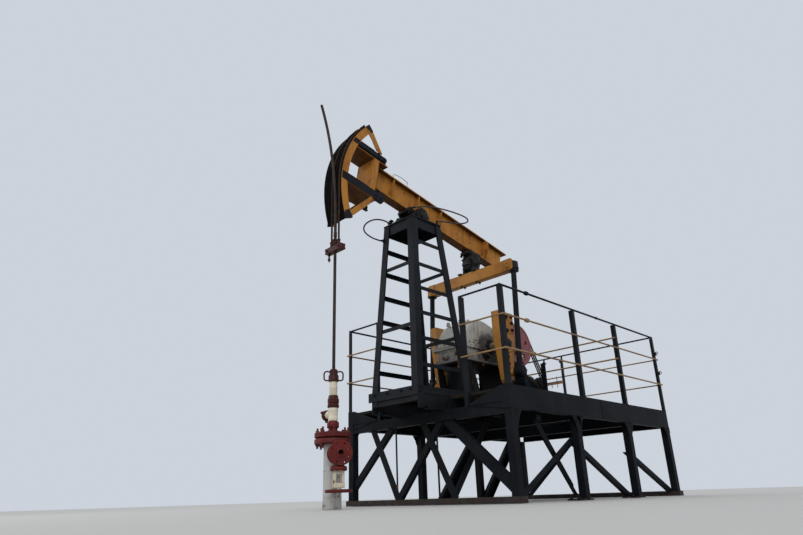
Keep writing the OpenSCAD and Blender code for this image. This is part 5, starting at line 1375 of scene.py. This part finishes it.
for f in (-1, 1):
    for dz in (0.010, 0.060):
        k.box((WX - 0.040, WY + f * 0.018 - 0.008, 2.590 + dz), (WX + 0.040, WY + f * 0.018 + 0.008, 2.604 + dz), None, None, 0.003)
k.cyl((WX, WY + 0.10, 2.445), (WX, WY + 0.10, 2.535), 0.0095, 12)
k.hexa((WX, WY + 0.10, 2.530), (0, 0, -1), 0.030, 0.016)
k.hexa((WX, WY + 0.10, 2.480), (0, 0, -1), 0.030, 0.018)
k.done("carrier_bar_body", MAROON2, "rod", 38, ("carrier_bar",), "maroon_paint")
k = Kit()
pts = [V((WX, WY, 1.100)), V((WX, WY, 1.7)), V((WX, WY, 2.3)), V((WX, WY, 2.90)), V((WX, WY, 2.948))]
q = V((math.cos(math.radians(135)), math.sin(math.radians(135)), 0))
for i in range(1, 13):
    a = math.radians(14 * i / 12)
    pts.append(V((WX, WY, 2.950)) + q * (6 * (1 - math.cos(a))) + V((0, 0, 6 * math.sin(a))))
k.tube(pts, 0.0158, 20)
k.lathe([(0, 0.016), (0.002, 0.0195), (0.028, 0.0195), (0.030, 0.016)], (WX, WY, 2.935), UP, 20)
k.lathe([(0, 0.016), (0.004, 0.0185), (0.06, 0.0185), (0.064, 0.016)], (WX, WY, 2.70), UP, 20)
k.done("polished_rod_bar", RODST, "rod", 40, ("polished_rod",), "rusty_steel")


# ---- deck planks ------------------------------------------------------------
k = Kit()


def plank(x0, x1, y0, y1, z0, z1, i):
    """One board along X or Y with worn ends, a slight cup and its own level."""
    along_x = (x1 - x0) > (y1 - y0)
    dz = -0.003 * R.random()
    n = 8
    a0, a1, b0, b1 = (x0, x1, y0, y1) if along_x else (y0, y1, x0, x1)
    a0 += 0.004 * R.random()
    a1 -= 0.004 * R.random()
    rings = []
    for j in range(n + 1):
        t = a0 + (a1 - a0) * j / n
        w0 = b0 + 0.0015 + 0.0012 * mnoise.noise(V((t * 4, i * 3.3, 0)))
        w1 = b1 - 0.0015 + 0.0012 * mnoise.noise(V((t * 4, i * 3.3, 9)))
        c = 0.002 * mnoise.noise(V((t * 1.5, i * 7.1, 4)))
        sec = [(w0 + 0.002, z0), (w1 - 0.002, z0), (w1, z0 + 0.003), (w1, z1 - 0.004 + dz), (w1 - 0.004, z1 + dz + c - 0.001), ((w0 + w1) / 2, z1 + dz - 0.0015 + c), (w0 + 0.004, z1 + dz + c - 0.001), (w0, z1 - 0.004 + dz)]
        rings.append([V((t, q[0], q[1])) if along_x else V((q[0], t, q[1])) for q in sec])
    k.loops(rings)


i = 0
for s in (-1, 1):
    y = 0.412
    while y < 1.155:
        w = min(0.118 + 0.02 * R.random(), 1.160 - y)
        if 1.160 - y - w < 0.05:
            w = 1.160 - y
        cut = 0.9 + 0.8 * R.random()
        for x0, x1 in ((0.058, cut), (cut + 0.004, 2.450)):
            plank(x0, x1, min(s * y, s * (y + w)), max(s * y, s * (y + w)), 1.061, 1.0945, i)
            i += 1
        y += w + 0.003
x = 2.464
while x < 3.595:
    w = min(0.115 + 0.03 * R.random(), 3.598 - x)
    plank(x, x + w, -1.158, 1.158, 1.061, 1.0945, i)
    i += 1
    x += w + 0.003
k.done("deck_planks", PLANK, "frame", 50, ("deck_boards",), "deck_wood")
k = Kit()
for s in (-1, 1):
    for x in (0.10, 0.62, 1.25, 1.85, 2.40):
        for y in (0.47, 0.60, 0.73, 0.86, 0.99, 1.11):
            k.lathe([(0, 0.005), (0.0012, 0.0045), (0.0018, 0.001)], (x + 0.02 * R.random(), s * y, 1.0935), (0, 0, 1), 8)
k.done("deck_nails", RUSTY, "frame", 30)

# ---- platform hardware ------------------------------------------------------
HW = 1.235
k = Kit()
for s in (-1, 1):
    # welds of legs to girders, feet, rails
    for lx in (0, 1.21, 2.44, 3.585):
        for dx in (0.0, 0.085):
            k.weld((lx + dx, s * (HW + 0.0008), 0.80), (lx + dx, s * (HW + 0.0008), 0.868), 0.0045, lx + s)
        k.weld((lx, s * (HW + 0.001), 0.8705), (lx + 0.085, s * (HW + 0.001), 0.8705), 0.006, lx)
        zf = 0.061 if lx in (0, 3.585) else 0.0155
        for dx in (0.0, 0.085):
            k.weld((lx + dx, s * (HW + 0.001) if zf > 0.05 else s * HW, zf), (lx + dx, s * (HW - 0.084), zf), 0.005, lx + 5)
        k.weld((lx, s * (HW + 0.002), zf), (lx + 0.085, s * (HW + 0.002), zf), 0.006, lx + 3)
    # posts welded to the girder top
    for px in (0.0, 1.44, 2.49, 3.62):
        k.weld((px, s * (HW + 0.001), 1.1005), (px + 0.05, s * (HW + 0.001), 1.1005), 0.005, px)
        k.weld((px + 0.003, s * (HW - 0.001), 2.137), (px + 0.047, s * (HW - 0.001), 2.137), 0.004, px + 1)
    # girder seam
    k.weld((1.83, s * (HW + 0.001), 0.872), (1.83, s * (HW + 0.001), 1.098), 0.004, s * 2)
    k.plate([(0, 0), (0.085, 0), (0.085, -0.02), (0.06, -0.05), (0.035, -0.105), (0.0, -0.19)], (0.085, s * (HW - 0.004) + 0.004, 0.869), (1, 0, 0), (0, 0, 1), 0.008, 0.002)
    for lx, d in ((1.21, 1), (1.295, -1), (1.21, -1), (2.44, -1), (2.525, 1), (3.585, -1)):
        x0 = lx if d < 0 or lx in (1.295, 2.525) else lx + 0.085
        k.plate([(0, 0), (d * 0.075, 0), (d * 0.07, -0.015), (d * 0.03, -0.06), (d * 0.012, -0.12), (0, -0.13)][::d], (x0, s * (HW - 0.004) + 0.004, 0.869), (1, 0, 0), (0, 0, 1), 0.008, 0.002)
    # front corner plate welds
    k.weld((-0.009, s * 1.145, 0.875), (-0.009, s * 0.70, 0.955), 0.004, 9)
k.done("platform_welds", BLACK, "frame", 50)
k = Kit()
for s in (-1, 1):
    for x, y, z in ((0.055, 0.62, 0.957), (0.055, 0.40, 0.957)):
        k.bolt((x, s * y, z - 0.0115), (0, 0, 1), 0.018, True, 0.5)
    for lx in (1.21, 2.44):
        for dx, dy in ((-0.115, 0.025), (-0.115, 0.115), (0.10, 0.115)):
            k.bolt((lx + dx, s * (HW - dy), 0.0155), (0, 0, 1), 0.018, True, 1.0)
for x in (-0.40,):
    for y in (-0.26, -0.12, 0.10, 0.30):
        k.bolt((x, y, 1.150), (-1, 0, 0), 0.018, True, 0.5)
for s in (-1, 1):
    for x in (-0.36, -0.33, 0.42, 0.45):
        k.bolt((x, s * 0.361, 1.125 if x in (-0.36, 0.45) else 1.165), (0, s, 0), 0.016, True, 0.4)
    for x in (-0.33, 0.42):
        k.bolt((x, s * 0.20, 1.1575), (0, 0, 1), 0.020, True, 1.0)
        k.bolt((x, s * 0.05, 1.1575), (0, 0, 1), 0.020, True, 1.0)
# skid held to the cross beams with clips
for s in (-1, 1):
    for x in (0.045, 1.245, 2.475):
        k.box((x - 0.03, s * 0.352 - 0.0 + (0 if s > 0 else -0.045), 0.9455), (x + 0.03, s * 0.352 + (0.045 if s > 0 else 0), 0.957), None, None, 0.003)
        k.bolt((x, s * 0.378, 0.957), (0, 0, 1), 0.018, True, 0.9)
k.done("platform_bolts", BLACK2, "frame", 40)

# guard rail couplings, hooks and chain latch
def clamp_ball(k, p, d, r, h):
    k.lathe([(-h, r * 0.55), (-h * 0.7, r * 0.9), (-h * 0.2, r), (h * 0.2, r), (h * 0.7, r * 0.9), (h, r * 0.55)], p, d, 14, wob=0.0015)


k = Kit()
clamp_ball(k, (0.499, -1.223, 2.150), (1, 0, 0), 0.024, 0.032)
clamp_ball(k, (2.05, -1.223, 2.150), (1, 0, 0), 0.017, 0.022)
clamp_ball(k, (1.90, 1.223, 2.150), (1, 0, 0), 0.020, 0.028)
for x, z in ((3.628, 1.90), (3.628, 1.62)):
    k.box((x - 0.012, -1.262, z - 0.022), (x + 0.028, -1.235, z + 0.022), None, None, 0.003)
    k.tube([(x + 0.01, -1.25, z + 0.02), (x + 0.01, -1.275, z + 0.028), (x + 0.01, -1.285, z + 0.01), (x + 0.01, -1.28, z - 0.012)], 0.005, 8)
k.done("rail_couplings", BLACK2, "frame", 50)
k = Kit()
clamp_ball(k, (0.426, -1.245, 1.822), (1, 0, 0), 0.024, 0.034)
clamp_ball(k, (0.484, -1.245, 1.465), (1, 0, 0), 0.024, 0.032)
clamp_ball(k, (2.30, 1.245, 1.822), (1, 0, 0), 0.018, 0.024)
for z in (1.465, 1.822):
    for s in (-1, 1):
        for px in (0.02, 1.465, 2.515, 3.645):
            k.weld((px - 0.016, s * 1.2365, z + 0.009), (px + 0.016, s * 1.2365, z + 0.009), 0.005, px + z)
            k.weld((px - 0.016, s * 1.2365, z - 0.009), (px + 0.016, s * 1.2365, z - 0.009), 0.005, px + z + 1)
k.done("rail_joints", OCHRE2, "frame", 50)

# tower welds at the rungs and ties
TBX, TTX = (-0.390, 0.482, 0.360), (-0.252, 0.246, 0.247)


def tl(i, z):
    return TBX[i] + (TTX[i] - TBX[i]) * (z - 1.145) / (3.235 - 1.145)


k = Kit()
for s in (-1, 1):
    for i in range(6):
        z = 1.145 + 0.292 + i * 0.3
        h = tl(2, z)
        for e, xx in ((0, tl(0, z) + 0.088), (1, tl(1, z) - 0.088)):
            k.weld((xx, s * (h - 0.0075), z - 0.042), (xx, s * (h - 0.0075), z - 0.002), 0.0045, i + e)
        k.weld((tl(0, z) + 0.02, s * (h - 0.012), z + 0.001), (tl(0, z) + 0.085, s * (h - 0.012), z + 0.001), 0.004, i)
    for x0, x1 in ((tl(0, 1.18), tl(0, 1.18) + 0.09), (tl(1, 1.18) - 0.09, tl(1, 1.18))):
        k.weld((x0, s * 0.3615, 1.181), (x1, s * 0.3615, 1.181), 0.006, x0)
k.done("tower_welds", BLACK2, "frame", 50)

# ---- hoses and their fittings -----------------------------------------------
def smooth_path(pts, n=6):
    pts = [V(p) / 1000 for p in pts]
    out = []
    for i in range(len(pts) - 1):
        p0, p1, p2, p3 = pts[max(i - 1, 0)], pts[i], pts[i + 1], pts[min(i + 2, len(pts) - 1)]
        for j in range(n):
            t = j / n
            out.append(0.5 * ((2 * p1) + (p2 - p0) * t + (2 * p0 - 5 * p1 + 4 * p2 - p3) * t * t + (3 * p1 - p0 - 3 * p2 + p3) * t ** 3))
    return out + [pts[-1]]


HF = [(-195, 175, 3262), (-215, 180, 3285), (-260, 195, 3305), (-320, 215, 3316), (-385, 238, 3312), (-445, 262, 3290), (-500, 285, 3250), (-532, 300, 3205), (-540, 306, 3160), (-520, 304, 3118), (-470, 296, 3088), (-410, 286, 3068), (-350, 272, 3058), (-310, 260, 3054), (-285, 250, 3056), (-266, 244, 3058)]
HN = [(-178, -168, 3386), (-150, -182, 3397), (-105, -202, 3410), (-50, -222, 3426), (20, -238, 3444), (90, -252, 3458), (190, -266, 3470), (300, -280, 3478), (420, -292, 3486), (540, -300, 3490), (650, -304, 3490), (725, -305, 3478), (742, -304, 3452), (715, -300, 3420), (640, -292, 3385), (545, -284, 3358), (440, -276, 3338), (335, -266, 3322), (255, -254, 3308), (215, -240, 3296), (205, -232, 3280), (205, -230, 3262)]
k = Kit()
k.tube(smooth_path(HF), 0.0092, 12)
k.tube(smooth_path(HN), 0.0092, 12)
k.done("rubber_hoses", RUBBER, "frame", 60, ("grease_hoses",), "hose_rubber")
k = Kit()
for pts in (HF, HN):
    sp = smooth_path(pts)
    for p, d in ((sp[0], sp[3] - sp[0]), (sp[-1], sp[-4] - sp[-1])):
        d.normalize()
        k.lathe([(0.004, 0.010), (0.006, 0.0125), (0.045, 0.0120), (0.048, 0.0098)], p, d, 14)
        k.hexa(p - d * 0.008, d, 0.026, 0.014)
# tee at the far front corner, elbow near the back corner, both on the top plate
k.cyl((-0.195, 0.175, 3.249), (-0.195, 0.175, 3.262), 0.014, 12)
k.cyl((-0.232, 0.175, 3.275), (-0.158, 0.175, 3.275), 0.011, 12)
k.hexa((-0.240, 0.175, 3.275), (-1, 0, 0), 0.024, 0.014)
k.hexa((-0.150, 0.175, 3.275), (1, 0, 0), 0.024, 0.014)
k.cyl((0.205, -0.230, 3.249), (0.205, -0.230, 3.266), 0.014, 12)
k.box((-0.275, 0.225, 3.035), (-0.250, 0.262, 3.080), None, None, 0.003)
k.tube([(-0.105, -0.152, 3.352), (-0.150, -0.156, 3.356), (-0.180, -0.160, 3.368), (-0.186, -0.164, 3.380)], 0.009, 10)
k.cyl((-0.195, 0.175, 3.255), (-0.195, 0.175, 3.318), 0.011, 12)
k.lathe([(0, 0.013), (0.004, 0.030), (0.010, 0.032), (0.016, 0.028), (0.020, 0.012), (0.032, 0.008)], (-0.195, 0.175, 3.312), (0, 0, 1), 14)
k.done("hose_fittings", BLACK2, "frame", 45)

# angle posts of the opening at the platform's back end, and the bar across it
k = Kit()
for y0 in (0.260, 0.590):
    k.box((3.614, y0 - 0.0006, 1.050), (3.6655, y0 + 0.0066, 2.076), None, None, 0.001)
    k.box((3.6590, y0 - 0.0006, 1.050), (3.6660, y0 + 0.048, 2.076), None, None, 0.001)
    k.box((3.616, y0 + 0.000, 2.040), (3.664, y0 + 0.046, 2.070), None, None, 0.006)
    k.lathe([(-0.02, 0.006), (0, 0.016), (0.012, 0.019), (0.024, 0.014), (0.030, 0.002)], (3.640, y0 + 0.022, 2.074), (0, 0, 1), 12)
    k.box((3.600, y0 - 0.004, 1.055), (3.668, y0 + 0.055, 1.105), None, None, 0.003)
k.cyl((3.652, 0.40, 1.660), (3.652, 0.40, 1.835), 0.005, 8)
k.cyl((3.652, 0.50, 1.665), (3.652, 0.50, 1.735), 0.005, 8)
k.done("end_posts", BLACK2, "frame", 40)
k = Kit()
k.box((3.650, 0.268, 1.712), (3.656, 0.630, 1.758), None, None, 0.0015)
k.box((3.640, 0.330, 1.753), (3.656, 0.600, 1.759), None, None, 0.0015)
k.done("end_bar", OCHRE2, "frame", 40)
